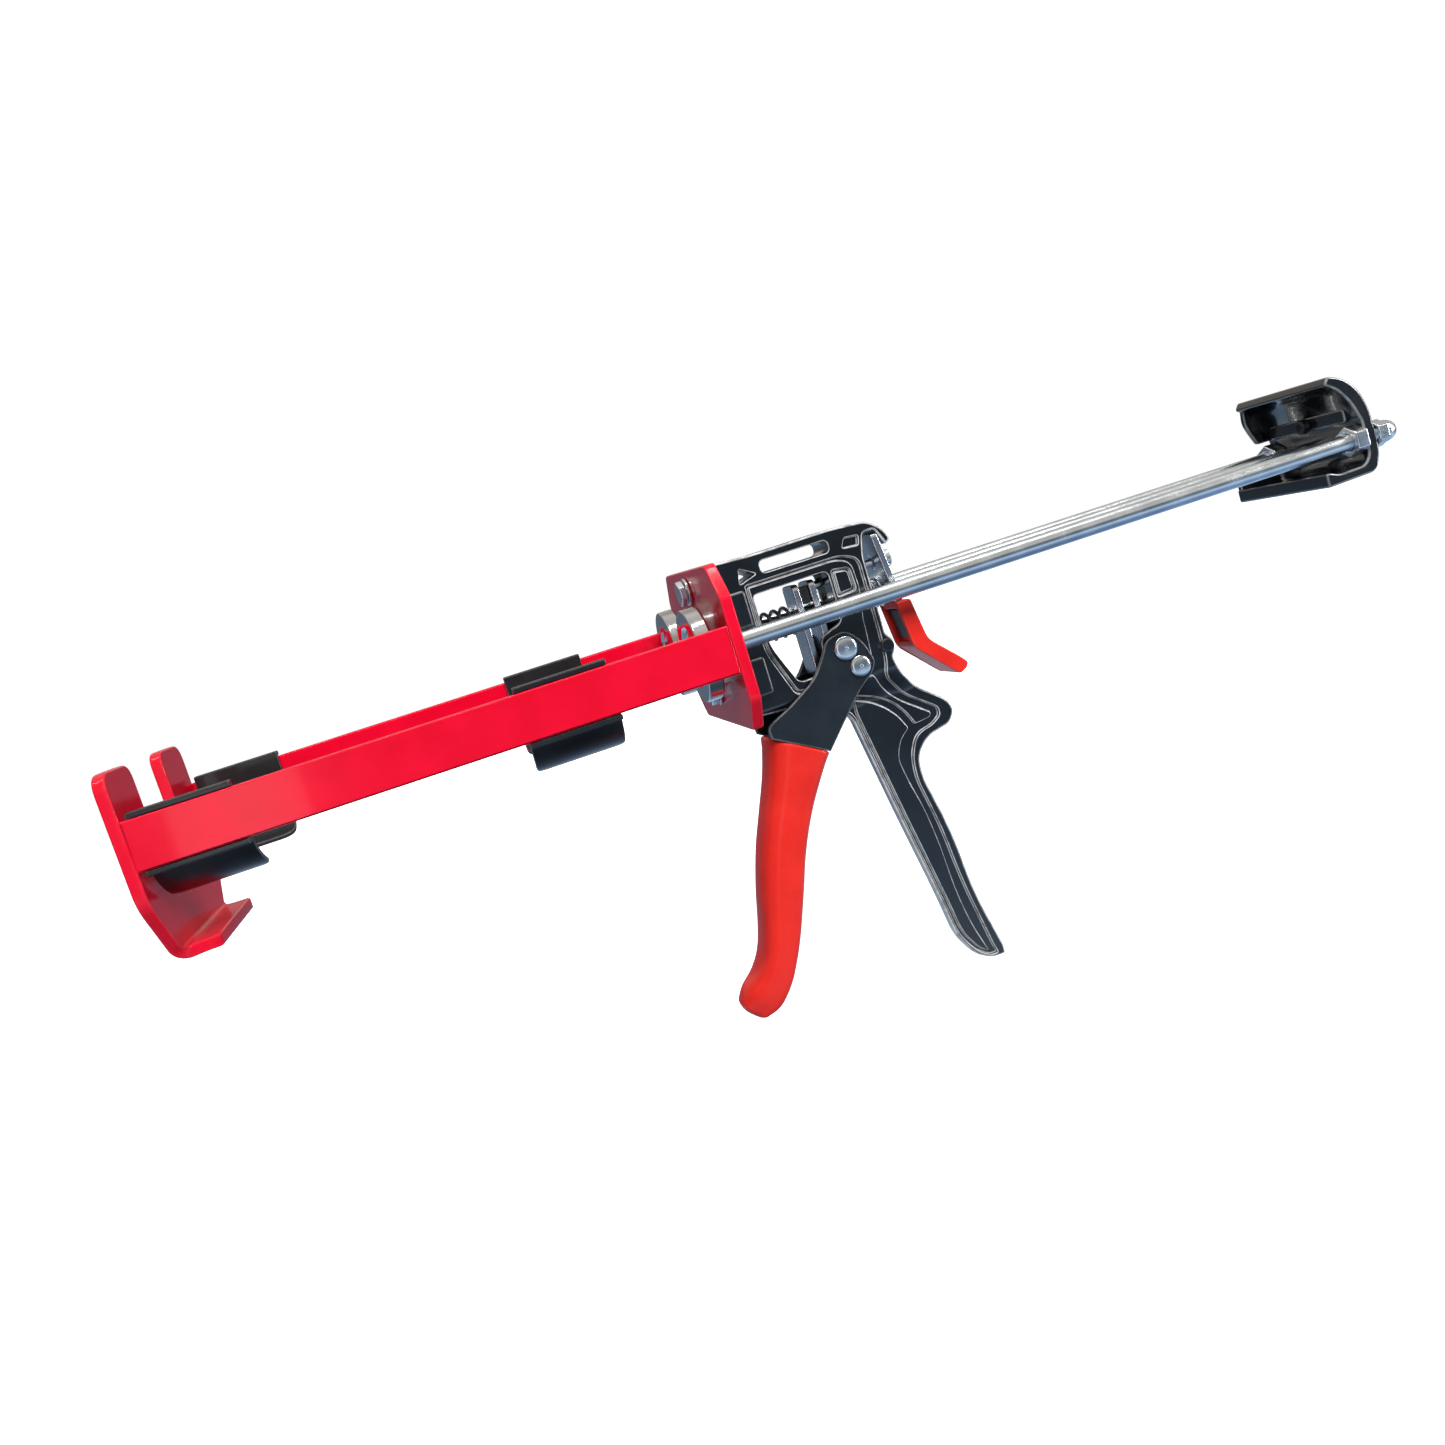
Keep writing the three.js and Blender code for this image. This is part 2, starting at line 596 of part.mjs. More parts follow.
/** The cast pull yoke: a channel across the rods with two webs that stiffen its far end. */
function yoke() {
  const section = outline([
    [309, 32.3, 1.5], [317, 29.5, 4], [324, 22, 5], [WEB_BACK_X, 12, 4], [WEB_BACK_X + 0.5, -8, 3],
    [324, -16.5, 5], [297, -17.2, 1.5], [297, -10.6, 0.8], [299.8, -10.6, 0.8], [300.6, -12.4, 0.8],
    [318, -12, 3], [WEB_FRONT_X, -8, 3],
    [WEB_FRONT_X, 8, 2], [318, 17.5, 4], [312.5, 25, 4], [306.5, 28.6, 1.5],
  ]);
  const farWeb = outline([
    [309, 29.5], [308, 21, 3], [310, 15.5, 3], [313, 9, 1.5], [322.5, 9], [322.5, 18], [314, 29.5],
  ]);
  const farFoot = outline([
    [297.8, -14], [297.8, -6.5, 2], [304, -5, 3], [311, -5, 2], [314, -8.2], [WEB_FRONT_X + 1, -8.2],
    [WEB_FRONT_X + 1, -14],
  ]);
  const shell = join(
    solid(alongY(section, -YOKE_HALF, YOKE_HALF)),
    solid(alongY(farWeb, YOKE_HALF - FAR_WEB_THICK, YOKE_HALF - FAR_WEB_INSET)),
    solid(alongY(farFoot, YOKE_HALF - FAR_WEB_THICK, YOKE_HALF - FAR_WEB_INSET)),
  );
  const holes = [-ROD_SPACING, 0, ROD_SPACING].map(
    (y) => solid(barX(ROD_RADIUS + GAP, WEB_FRONT_X - 5, WEB_BACK_X + OVER, y)),
  );
  const screwHole = solid(barX(THIN_PIN_RADIUS + GAP, 300, WEB_BACK_X + OVER, 0, LOCK_SCREW_Z));
  return cut(shell, ...holes, screwHole);
}

function hexNut(y) {
  const front = WEB_FRONT_X - GAP - NUT_THICK;
  const back = WEB_FRONT_X - GAP;
  const body = solid(turnedX([
    [0, front], [NUT_RADIUS - 1, front], [NUT_RADIUS, front + 0.8], [NUT_RADIUS, back], [0, back],
  ], y, 0, 6));
  return cut(body, solid(barX(ROD_RADIUS + GAP, front - OVER, back + OVER, y)));
}

function domeNut(y) {
  const front = WEB_BACK_X + 0.5 + GAP;
  const bore = ROD_RADIUS + GAP;
  const hexBack = front + 5;
  const base = solid(turnedX([[0, front], [6.6, front], [6.6, hexBack], [0, hexBack]], y, 0, 6));
  const cap = solid(turnedX([
    [0, front + 1], [5.6, front + 1], [5.6, hexBack + 1.5], [4.6, hexBack + 4.5], [2.6, hexBack + 6.5],
    [0, hexBack + 7],
  ], y));
  const hole = solid(barX(bore, front - OVER, ROD_END_X + GAP, y));
  return cut(join(base, cap), hole);
}

function lockScrew() {
  return turnedX([
    [0, 314.2], [3, 314.2], [3.6, 315], [3.6, 317.6], [THIN_PIN_RADIUS, 317.6],
    [THIN_PIN_RADIUS, WEB_BACK_X], [0, WEB_BACK_X],
  ], 0, LOCK_SCREW_Z);
}

// ---- every piece, by name ----
place('front_plate', frontPlate(), RED_PAINT());
place('rear_plate', rearPlate(), RED_PAINT());
for (const [name, side] of [['near', -1], ['far', 1]]) {
  place(`side_bar_${name}`, sideBar(side), RED_PAINT());
  place(`front_clip_${name}`, clip(side, FRONT_CLIP_X), BLACK_PLASTIC());
  place(`middle_clip_${name}`, clip(side, MIDDLE_CLIP_X), BLACK_PLASTIC());
  place(`push_rod_${name}`, pushRod(side * ROD_SPACING), ZINC());
  place(`piston_${name}`, piston(side * ROD_SPACING), BLACK_STEEL());
  place(`piston_screw_${name}`, pistonScrew(side * ROD_SPACING), ZINC());
  place(`rod_nut_${name}`, hexNut(side * ROD_SPACING), ZINC());
  place(`dome_nut_${name}`, domeNut(side * ROD_SPACING), ZINC());
}
for (const [name, z] of [['upper', UPPER_BOLT_Z], ['lower', LOWER_BOLT_Z]]) {
  place(`frame_bolt_${name}`, hexBolt(z), ZINC());
  place(`frame_washer_${name}`, washer(BOLT_RADIUS + GAP, 6.3, -1.5, -GAP, 0, z), ZINC());
}
place('cast_body', castBody(), BLACK_CAST());
place('trigger_lever', triggerLever(), BLACK_STEEL());
place('trigger_sleeve', triggerSleeve(), RED_DIP());
place('trigger_pivot_pin', rivet(PIVOT, 4.8), ZINC());
place('drive_pin', rivet(DRIVE_PIN, 5.4), ZINC());
place('drive_plate_front', drivePlate(FRONT_DRIVE_PLATE_X), ZINC());
place('drive_plate_rear', drivePlate(REAR_DRIVE_PLATE_X), ZINC());
place('drive_plate_spacer', drivePlateSpacer(), BLACK_PLASTIC());
place('drive_spring', coil(SPRING_START_X, FRONT_DRIVE_PLATE_X - GAP, 6.4, 0.8, 5), BLACK_STEEL());
place('plate_stop_pin', plateStopPin(), ZINC());
place('brake_plate', brakePlate(), ZINC());
place('release_lever', releaseLever(), RED_DIP());
place('release_block', releaseBlock(), BLACK_PLASTIC());
place('brake_screw', brakeScrew(), ZINC());
place('brake_spring', coil(78.8, 86.6, 6.4, 0.7, 2), ZINC());
place('drive_rod', driveRod(), ZINC());
place('yoke', yoke(), BLACK_CAST());
place('dome_nut_centre', domeNut(0), ZINC());
place('yoke_lock_screw', lockScrew(), BLACK_STEEL());

export default gun;
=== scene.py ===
import json
import math

import bmesh
import bpy
import numpy as np
from mathutils import Matrix, Vector
from mathutils.geometry import tessellate_polygon


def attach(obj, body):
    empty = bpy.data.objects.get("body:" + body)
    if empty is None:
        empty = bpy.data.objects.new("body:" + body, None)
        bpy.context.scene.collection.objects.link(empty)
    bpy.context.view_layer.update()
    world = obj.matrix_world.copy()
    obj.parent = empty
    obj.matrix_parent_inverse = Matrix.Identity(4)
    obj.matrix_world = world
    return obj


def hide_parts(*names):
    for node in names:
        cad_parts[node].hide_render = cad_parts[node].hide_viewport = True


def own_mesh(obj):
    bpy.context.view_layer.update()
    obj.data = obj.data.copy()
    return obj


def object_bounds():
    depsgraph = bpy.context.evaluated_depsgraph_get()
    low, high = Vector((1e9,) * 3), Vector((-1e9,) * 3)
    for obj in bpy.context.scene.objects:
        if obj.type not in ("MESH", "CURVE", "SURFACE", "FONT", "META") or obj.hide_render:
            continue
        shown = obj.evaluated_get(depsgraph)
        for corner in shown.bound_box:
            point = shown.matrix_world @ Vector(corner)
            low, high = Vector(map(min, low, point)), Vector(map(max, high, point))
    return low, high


# A twin-cartridge caulking gun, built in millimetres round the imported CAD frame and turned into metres
# when each mesh is made. X runs from the nozzle end (negative) to the pull yoke, -Y is the near side and +Z
# is up.
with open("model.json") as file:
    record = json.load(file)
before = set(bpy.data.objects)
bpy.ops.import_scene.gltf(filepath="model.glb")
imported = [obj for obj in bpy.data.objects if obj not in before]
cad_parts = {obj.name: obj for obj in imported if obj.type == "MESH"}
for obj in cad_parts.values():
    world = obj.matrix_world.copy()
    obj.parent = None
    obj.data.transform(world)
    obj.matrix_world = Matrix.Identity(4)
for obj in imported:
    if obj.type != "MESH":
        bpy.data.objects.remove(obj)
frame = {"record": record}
cad_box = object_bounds()
record = frame["record"]

MM = 0.001
LONGEST_CUT = 0.45  # the most of an edge that one rounded corner may take
CORNER_STEPS = 6
EDGE_STEPS = 4  # faces across a rounded edge
SUPPORT = 0.15  # a loop this close to a rounded edge keeps the flat beside it flat
ROUND = 64
TOUCH = 0.01  # how near a bend a point still counts as part of it
SHARP = math.radians(38)

# ---- sizes shared with the CAD part ----
BODY_X0 = 5.3
ROD_SPACING = 26
ROD_RADIUS = 4
PIVOT = (61.6, -27.9)
DRIVE_PIN = (57.3, -18.3)
SLOT_END = (53.6, -21.0)
CHEEK_INNER, CHEEK_OUTER = 11.3, 13.8
ROD_HOLE = 4.5
ROD_REAR_X = 334
COIL_RADIUS = 6.4
WALL_REAR_X = 78.5  # the rear face of the cast body's housing
BOLT_ZS = {"upper": 26, "lower": -20}
BOLT_RADIUS, BOLT_HOLE = 3, 3.3
BAR_INNER, BAR_OUTER = 51, 54


# ---- outlines ----
def rounded(corners, steps=CORNER_STEPS, closed=True):
    """Points along an outline of [u, v, cut] corners, each rounded from cut before it to cut after it."""
    points, count = [], len(corners)
    for index, corner in enumerate(corners):
        here = np.array(corner[:2], float)
        cut = corner[2] if len(corner) > 2 else 0
        if cut == 0 or (not closed and index in (0, count - 1)):
            points.append(tuple(here))
            continue
        before = np.array(corners[index - 1][:2], float) - here
        after = np.array(corners[(index + 1) % count][:2], float) - here
        lengths = np.linalg.norm(before), np.linalg.norm(after)
        reach = min(cut, LONGEST_CUT * lengths[0], LONGEST_CUT * lengths[1])
        start, end = here + before / lengths[0] * reach, here + after / lengths[1] * reach
        for step in range(steps + 1):
            t = step / steps
            points.append(tuple((1 - t) ** 2 * start + 2 * t * (1 - t) * here + t * t * end))
    return points


def area(loop):
    points = np.array(loop)
    after = np.roll(points, -1, 0)
    return float(np.sum(points[:, 0] * after[:, 1] - after[:, 0] * points[:, 1])) / 2


def wound(loop, inward=True):
    """The loop turning so that the material is on its left: an outline, or a hole where inward is False."""
    return loop if (area(loop) > 0) == inward else loop[::-1]


def moved_in(loop, distance):
    """The loop moved to its left by a distance, or to its right where that is negative."""
    points = np.array(loop, float)
    before = points - np.roll(points, 1, 0)
    after = np.roll(points, -1, 0) - points
    before /= np.linalg.norm(before, axis=1, keepdims=True)
    after /= np.linalg.norm(after, axis=1, keepdims=True)
    normal_a = np.stack([-before[:, 1], before[:, 0]], 1)
    normal_b = np.stack([-after[:, 1], after[:, 0]], 1)
    share = np.maximum(1 + np.sum(normal_a * normal_b, axis=1, keepdims=True), 0.4)
    return points + distance * (normal_a + normal_b) / share


def circle(u, v, radius, facets=40):
    turn = [2 * math.pi * k / facets for k in range(facets)]
    return [(u + radius * math.cos(a), v + radius * math.sin(a)) for a in turn]


def box2(u0, v0, u1, v1, cut=0.0):
    return rounded([[u0, v0, cut], [u1, v0, cut], [u1, v1, cut], [u0, v1, cut]])


def capsule(a, b, radius, facets=14):
    heading = math.atan2(b[1] - a[1], b[0] - a[0])
    points = []
    for centre, start in ((b, heading - math.pi / 2), (a, heading + math.pi / 2)):
        for k in range(facets + 1):
            angle = start + math.pi * k / facets
            points.append((centre[0] + radius * math.cos(angle), centre[1] + radius * math.sin(angle)))
    return points


def spline(rows, steps, closed=False):
    """Points on a smooth curve through rows of numbers."""
    rows = np.array(rows, float)
    count = len(rows)
    out = []
    for index in range(count if closed else count - 1):
        if closed:
            p = [rows[(index + k) % count] for k in (-1, 0, 1, 2)]
        else:
            p = [rows[min(max(index + k, 0), count - 1)] for k in (-1, 0, 1, 2)]
        for step in range(steps):
            t = step / steps
            out.append(0.5 * (
                2 * p[1] + (p[2] - p[0]) * t + (2 * p[0] - 5 * p[1] + 4 * p[2] - p[3]) * t ** 2
                + (3 * p[1] - p[0] - 3 * p[2] + p[3]) * t ** 3
            ))
    if not closed:
        out.append(rows[-1])
    return np.array(out)


# ---- skins: closed faces in millimetres ----
def along_x(u, v, t):
    return (t, u, v)


def along_y(u, v, t):
    return (u, t, v)


def flat_sheet(u, v, t):
    """Where a plate lies before it is bent."""
    return (u, v, t)


class Skin:
    """Points, faces and a wear and painted-highlight weight at each point, 1 in a rounded edge's middle."""

    def __init__(self):
        self.points, self.wear, self.faces, self.flat = [], [], [], []

    def ring(self, points, wear=0.0):
        start = len(self.points)
        self.points.extend(tuple(float(x) for x in p) for p in points)
        self.wear.extend([wear] * (len(self.points) - start))
        return list(range(start, len(self.points)))

    def bridge(self, a, b):
        for k in range(len(a)):
            after = (k + 1) % len(a)
            self.faces.append((a[k], a[after], b[after], b[k]))
            self.flat.append(False)

    def cap(self, rings, loops):
        ids = [i for ring in rings for i in ring]
        flats = [[Vector((float(u), float(v), 0)) for u, v in loop] for loop in loops]
        for triangle in tessellate_polygon(flats):
            self.faces.append(tuple(ids[k] for k in triangle))
            self.flat.append(True)

    def fan(self, ring, tip, flat=False):
        point = self.ring([tip])[0]
        for k in range(len(ring)):
            self.faces.append((ring[k], ring[(k + 1) % len(ring)], point))
            self.flat.append(flat)

    def mirror(self):
        self.points = [(x, -y, z) for x, y, z in self.points]
        return self

    def add(self, other):
        start = len(self.points)
        self.points += other.points
        self.wear += other.wear
        self.faces += [tuple(i + start for i in face) for face in other.faces]
        self.flat += other.flat
        return self


def edge_path(edge):
    """(inset, depth, wear and painted-highlight weight) across a rounded edge, from the flat face to the
    wall.
    """
    angles = [math.pi / 2 * k / EDGE_STEPS for k in range(EDGE_STEPS + 1)]
    return [(edge * (1 - math.sin(a)), edge * (1 - math.cos(a)), math.sin(2 * a)) for a in angles]


def slab(loops, place, low, high, edge=0.5):
    """A plate with rounded edges between two levels. The first loop is its outline, the rest are holes."""
    skin = Skin()
    loops = [wound(loop, index == 0) for index, loop in enumerate(loops)]
    path = [(i, low + d, w) for i, d, w in edge_path(edge)]
    if high - low > 2 * edge + 4 * SUPPORT:
        path += [(0, low + edge + SUPPORT, 0), (0, high - edge - SUPPORT, 0)]
    path += [(i, high - d, w) for i, d, w in reversed(edge_path(edge))]
    starts, ends = [], []
    for loop in loops:
        rings = [skin.ring([place(u, v, t) for u, v in moved_in(loop, i)], w) for i, t, w in path]
        for a, b in zip(rings, rings[1:]):
            skin.bridge(a, b)
        starts.append(rings[0])
        ends.append(rings[-1])
    flats = [moved_in(loop, edge) for loop in loops]
    skin.cap(starts, flats)
    skin.cap(ends, flats)
    return skin


def relief(place, region, cavity, outer_edge, step_edge):
    """A plate, the same on both sides, whose faces are terraces. A region is (loop, level, inner regions).
    The level "through" is a hole to the other side, and "cavity" a hole into the cavity (loop, level)."""
    skin = Skin()
    cavity_loop, cavity_level = wound(cavity[0], False), cavity[1]
    crossing = {-1: [], 1: []}
    into_cavity = {-1: [], 1: []}

    def fill(side, loop, level, kids, ring, offset):
        rings, flats = [ring], [moved_in(loop, offset)]
        for kid_loop, kid_level, grandkids in kids:
            kid_loop = wound(kid_loop)
            open_end = isinstance(kid_level, str)
            sign = -1 if open_end or kid_level < level else 1
            path = [(-i, level + sign * d, w) for i, d, w in edge_path(step_edge)]
            if kid_level == "cavity":
                path.append((0, cavity_level, 0))
            elif not open_end:
                path += [(i, kid_level - sign * d, w) for i, d, w in reversed(edge_path(step_edge))]
            kid_rings = [
                skin.ring([place(u, v, side * t) for u, v in moved_in(kid_loop, i)], w) for i, t, w in path
            ]
            for a, b in zip(kid_rings, kid_rings[1:]):
                skin.bridge(a, b)
            rings.append(kid_rings[0])
            flats.append(moved_in(kid_loop, -step_edge))
            if kid_level == "through":
                crossing[side].append(kid_rings[-1])
            elif kid_level == "cavity":
                into_cavity[side].append((kid_rings[-1], kid_loop))
            else:
                fill(side, kid_loop, kid_level, grandkids, kid_rings[-1], step_edge)
        skin.cap(rings, flats)

    loop, level, kids = region
    loop = wound(loop)
    for side in (-1, 1):
        rings = [
            skin.ring([place(u, v, side * (level - d)) for u, v in moved_in(loop, i)], w)
            for i, d, w in edge_path(outer_edge)
        ]
        rings.append(skin.ring([place(u, v, side * (level - outer_edge - SUPPORT)) for u, v in loop]))
        for a, b in zip(rings, rings[1:]):
            skin.bridge(a, b)
        crossing[side].append(rings[-1])
        fill(side, loop, level, kids, rings[0], outer_edge)
        wall = skin.ring([place(u, v, side * cavity_level) for u, v in cavity_loop])
        holes = into_cavity[side]
        skin.cap([wall] + [ring for ring, _ in holes], [cavity_loop] + [hole for _, hole in holes])
        crossing[side].append(wall)
    for a, b in zip(crossing[-1], crossing[1]):
        skin.bridge(a, b)
    return skin


def faded(skin, share):
    """The skin with less wear and painted highlight on its edges."""
    skin.wear = [weight * share for weight in skin.wear]
    return skin


def turned(profile, place, facets=ROUND):
    """A turned body from [along, radius, cut] corners that start and end on the axis."""
    skin = Skin()
    path = rounded(profile, 4, closed=False)
    held = [path[0]]
    for a, b in zip(path, path[1:]):
        length = math.dist(a, b)
        if length > 6 * SUPPORT:
            share = SUPPORT / length
            for t in (share, 1 - share):
                held.append((a[0] + (b[0] - a[0]) * t, a[1] + (b[1] - a[1]) * t))
        held.append(b)
    rings = []
    for along, radius in held[1:-1]:
        angles = [2 * math.pi * k / facets for k in range(facets)]
        rings.append(skin.ring([place(radius * math.cos(a), radius * math.sin(a), along) for a in angles]))
    for a, b in zip(rings, rings[1:]):
        skin.bridge(a, b)
    skin.fan(rings[0], place(0, 0, held[0][0]))
    skin.fan(rings[-1], place(0, 0, held[-1][0]))
    return skin


def at_x(y, z):
    """Turned or set along X, round the line at y, z."""
    return lambda u, v, t: (t, y + u, z + v)


def at_y(x, z):
    return lambda u, v, t: (x + u, t, z + v)


def skinned(rings, tip0=None, tip1=None):
    """A closed skin through rings of equally many points, closed by a tip or by a fan to the middle."""
    skin = Skin()
    made = [skin.ring(ring) for ring in rings]
    for a, b in zip(made, made[1:]):
        skin.bridge(a, b)
    skin.fan(made[0], np.mean(rings[0], axis=0) if tip0 is None else tip0)
    skin.fan(made[-1], np.mean(rings[-1], axis=0) if tip1 is None else tip1)
    return skin


def tube(line, radius, sides=12):
    """A wire along a line of points."""
    line = np.array(line, float)
    tangent = np.gradient(line, axis=0)
    tangent /= np.linalg.norm(tangent, axis=1, keepdims=True)
    rings = []
    for point, t in zip(line, tangent):
        side = np.cross(t, (1, 0, 0))
        side /= np.linalg.norm(side)
        other = np.cross(t, side)
        angles = [2 * math.pi * k / sides for k in range(sides)]
        rings.append([point + radius * (math.cos(a) * side + math.sin(a) * other) for a in angles])
    return skinned(rings)


def helix(x0, x1, radius, wire, turns, z=0.0, per_turn=36):
    count = int(turns * per_turn)
    line = []
    for k in range(count + 1):
        angle = 2 * math.pi * k / per_turn
        line.append((x0 + wire + (x1 - x0 - 2 * wire) * k / count, radius * math.cos(angle),
                     z + radius * math.sin(angle)))
    return tube(line, wire)


# ---- materials ----
def finish(slot, dark, light, rubbing_and_highlight_colour, rough, grain, height, patch=55.0, metallic=0.0, coat=0.0,
           coat_rough=0.08, level=0.5, stretch=(1, 1, 1), wear_gain=1.6):
    """A procedural finish: patchy colour, rounded edges lightened for wear and painted highlight, and fine
    grain in bump and roughness.
    """
    material = bpy.data.materials.new(slot)
    material.use_nodes = True
    tree = material.node_tree
    shader = tree.nodes["Principled BSDF"]
    for name, value in (("Metallic", metallic), ("Coat Weight", coat), ("Coat Roughness", coat_rough),
                        ("Specular IOR Level", level)):
        shader.inputs[name].default_value = value

    def add(kind, links=(), **values):
        made = tree.nodes.new(kind)
        for key, value in values.items():
            setattr(made, key, value)
        for source, socket in links:
            tree.links.new(source, made.inputs[socket])
        return made

    place = add("ShaderNodeTexCoord").outputs["Object"]
    mapping = add("ShaderNodeMapping", [(place, "Vector")])
    mapping.inputs["Scale"].default_value = stretch

    def noise(scale, detail, vector):
        made = add("ShaderNodeTexNoise", [(vector, "Vector")])
        made.inputs["Scale"].default_value = scale
        made.inputs["Detail"].default_value = detail
        return made.outputs["Fac"]

    def ranged(value, low, high, to_low, to_high):
        made = add("ShaderNodeMapRange", [(value, "Value")])
        for name, number in (("From Min", low), ("From Max", high), ("To Min", to_low), ("To Max", to_high)):
            made.inputs[name].default_value = number
        return made.outputs["Result"]

    def mixed(share, first, second):
        made = add("ShaderNodeMix", [(share, 0)], data_type="RGBA")
        for index, colour in ((6, first), (7, second)):
            if isinstance(colour, tuple):
                made.inputs[index].default_value = (*colour, 1)
            else:
                tree.links.new(colour, made.inputs[index])
        return made.outputs[2]

    def product(first, second, operation="MULTIPLY"):
        return add("ShaderNodeMath", [(first, 0), (second, 1)], operation=operation).outputs[0]

    patches = noise(patch, 3.0, place)
    fine = noise(grain, 4.0, mapping.outputs["Vector"])
    edge_breakup = noise(210.0, 5.0, place)
    base = mixed(ranged(patches, 0.35, 0.65, 0, 1), dark, light)
    # Rounded edges get the third colour, broken up by noise: a painted highlight in red_paint and
    # black_cast, lighter edges in the others.
    edge = add("ShaderNodeAttribute", attribute_name="wear").outputs["Fac"]
    rubbing_and_highlight_share = product(edge, ranged(edge_breakup, 0.36, 0.54, 0.5 * wear_gain, wear_gain))
    base = mixed(add("ShaderNodeClamp", [(rubbing_and_highlight_share, 0)]).outputs[0], base, rubbing_and_highlight_colour)
    tree.links.new(base, shader.inputs["Base Color"])
    soft = ranged(patches, 0.3, 0.7, rough[0], rough[1])
    rough_grain = ranged(fine, 0.3, 0.7, -0.02, 0.03)
    tree.links.new(product(soft, rough_grain, "ADD"), shader.inputs["Roughness"])
    bump = add("ShaderNodeBump", [(fine, "Height")])
    bump.inputs["Strength"].default_value = 0.6
    bump.inputs["Distance"].default_value = height
    tree.links.new(bump.outputs["Normal"], shader.inputs["Normal"])
    return material


# The third colour of each finish goes on its rounded edges. In red_paint and black_cast it is a painted
# highlight, lighter than the paint, standing in for light caught by the edges; in the others it makes the
# edges lighter.
FINISHES = {
    "red_paint": finish("red_paint", (0.76, 0.0015, 0.022), (0.84, 0.002, 0.028), (0.9, 0.05, 0.09),
                        (0.16, 0.22), 420.0, 0.000002, coat=0.3, coat_rough=0.05, level=0.2, wear_gain=0.25),
    "red_dip": finish("red_dip", (0.76, 0.018, 0.011), (0.86, 0.026, 0.016), (0.9, 0.1, 0.07),
                      (0.34, 0.42), 380.0, 0.000008, coat=0.3, coat_rough=0.24, level=0.25, wear_gain=0.5),
    "black_cast": finish("black_cast", (0.003, 0.004, 0.006), (0.005, 0.0075, 0.0105), (0.8, 0.83, 0.86),
                         (0.16, 0.22), 420.0, 0.000002, coat=1.0, coat_rough=0.05, level=0.5, wear_gain=0.9),
    "black_plastic": finish("black_plastic", (0.006, 0.0065, 0.0075), (0.012, 0.0125, 0.014),
                            (0.1, 0.1, 0.11), (0.3, 0.4), 1100.0, 0.00001, coat=0.2, level=0.5,
                            wear_gain=0.9),
    "black_steel": finish("black_steel", (0.009, 0.013, 0.018), (0.013, 0.019, 0.026), (0.2, 0.21, 0.22),
                          (0.24, 0.32), 480.0, 0.000002, coat=0.25, level=0.5, wear_gain=0.8),
    "piston_steel": finish("piston_steel", (0.46, 0.46, 0.47), (0.56, 0.56, 0.57), (0.8, 0.8, 0.82),
                           (0.1, 0.16), 800.0, 0.0000004, metallic=1.0, level=0.7),
    "zinc": finish("zinc", (0.62, 0.67, 0.72), (0.72, 0.77, 0.82), (0.9, 0.92, 0.95),
                   (0.2, 0.27), 900.0, 0.0000004, patch=90.0, metallic=1.0, stretch=(0.12, 1, 1)),
}

SLOT_OF = {row["node"]: row["material_slot"] for row in record["subparts"]}
BODY_OF = {node: body for body, nodes in record["behaviour"]["bodies"].items() for node in nodes}


def as_bmesh(skin):
    shape = bmesh.new()
    wear = shape.verts.layers.float.new("wear")
    verts = []
    for point, weight in zip(skin.points, skin.wear):
        vert = shape.verts.new(point)
        vert[wear] = weight
        verts.append(vert)
    for ids, flat in zip(skin.faces, skin.flat):
        face = shape.faces.new([verts[i] for i in ids])
        face.smooth = not flat
    return shape


def rebuilt(skin, cuts, warp, curved):
    """The skin cut at values of its second coordinate, so that warp can bend it there. Faces whose unbent
    points are all curved ones are shaded smooth."""
    shape = as_bmesh(skin)
    wear = shape.verts.layers.float["wear"]
    for value in cuts:
        geometry = shape.verts[:] + shape.edges[:] + shape.faces[:]
        bmesh.ops.bisect_plane(shape, geom=geometry, dist=1e-5, plane_co=(0, value, 0), plane_no=(0, 1, 0))
    shape.verts.index_update()
    made = Skin()
    made.points = [warp(*vert.co) for vert in shape.verts]
    made.wear = [vert[wear] for vert in shape.verts]
    for face in shape.faces:
        made.faces.append(tuple(vert.index for vert in face.verts))
        made.flat.append(not (face.smooth or all(curved(vert.co) for vert in face.verts)))
    shape.free()
    return made


def piece(nodes, skin):
    """Makes the mesh that stands for these CAD nodes."""
    nodes = [nodes] if isinstance(nodes, str) else nodes
    mesh = bpy.data.meshes.new(nodes[0] + "_look")
    shape = as_bmesh(skin)
    bmesh.ops.recalc_face_normals(shape, faces=shape.faces[:])
    for vert in shape.verts:
        vert.co *= MM
    shape.to_mesh(mesh)
    shape.free()
    smooth = np.zeros(len(mesh.polygons), bool)
    mesh.polygons.foreach_get("use_smooth", smooth)
    mesh.set_sharp_from_angle(angle=SHARP)
    mesh.polygons.foreach_set("use_smooth", smooth)
    made = bpy.data.objects.new(nodes[0] + "_look", mesh)
    bpy.context.scene.collection.objects.link(made)
    slot = SLOT_OF[nodes[0]]
    mesh.materials.append(FINISHES[slot])
    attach(made, BODY_OF[nodes[0]])
    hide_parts(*nodes)
    return made


# ---- cage ----
FRONT_X, PLATE = -243, 5
BEND_Z, BEND_X, BEND_OUTER = -43, -236, 7
BEND_MID = 4.5
BEND_LENGTH = BEND_MID * math.pi / 2


def fold(y, s, t):
    """A point of the unfolded front plate, t from its front face, in its place on the folded one."""
    radius = BEND_OUTER - t
    past = BEND_Z - s
    if past <= 0:
        return (FRONT_X + t, y, s)
    if past < BEND_LENGTH:
        angle = past / BEND_MID
        return (BEND_X - radius * math.cos(angle), y, BEND_Z - radius * math.sin(angle))
    return (BEND_X + past - BEND_LENGTH, y, BEND_Z - radius)


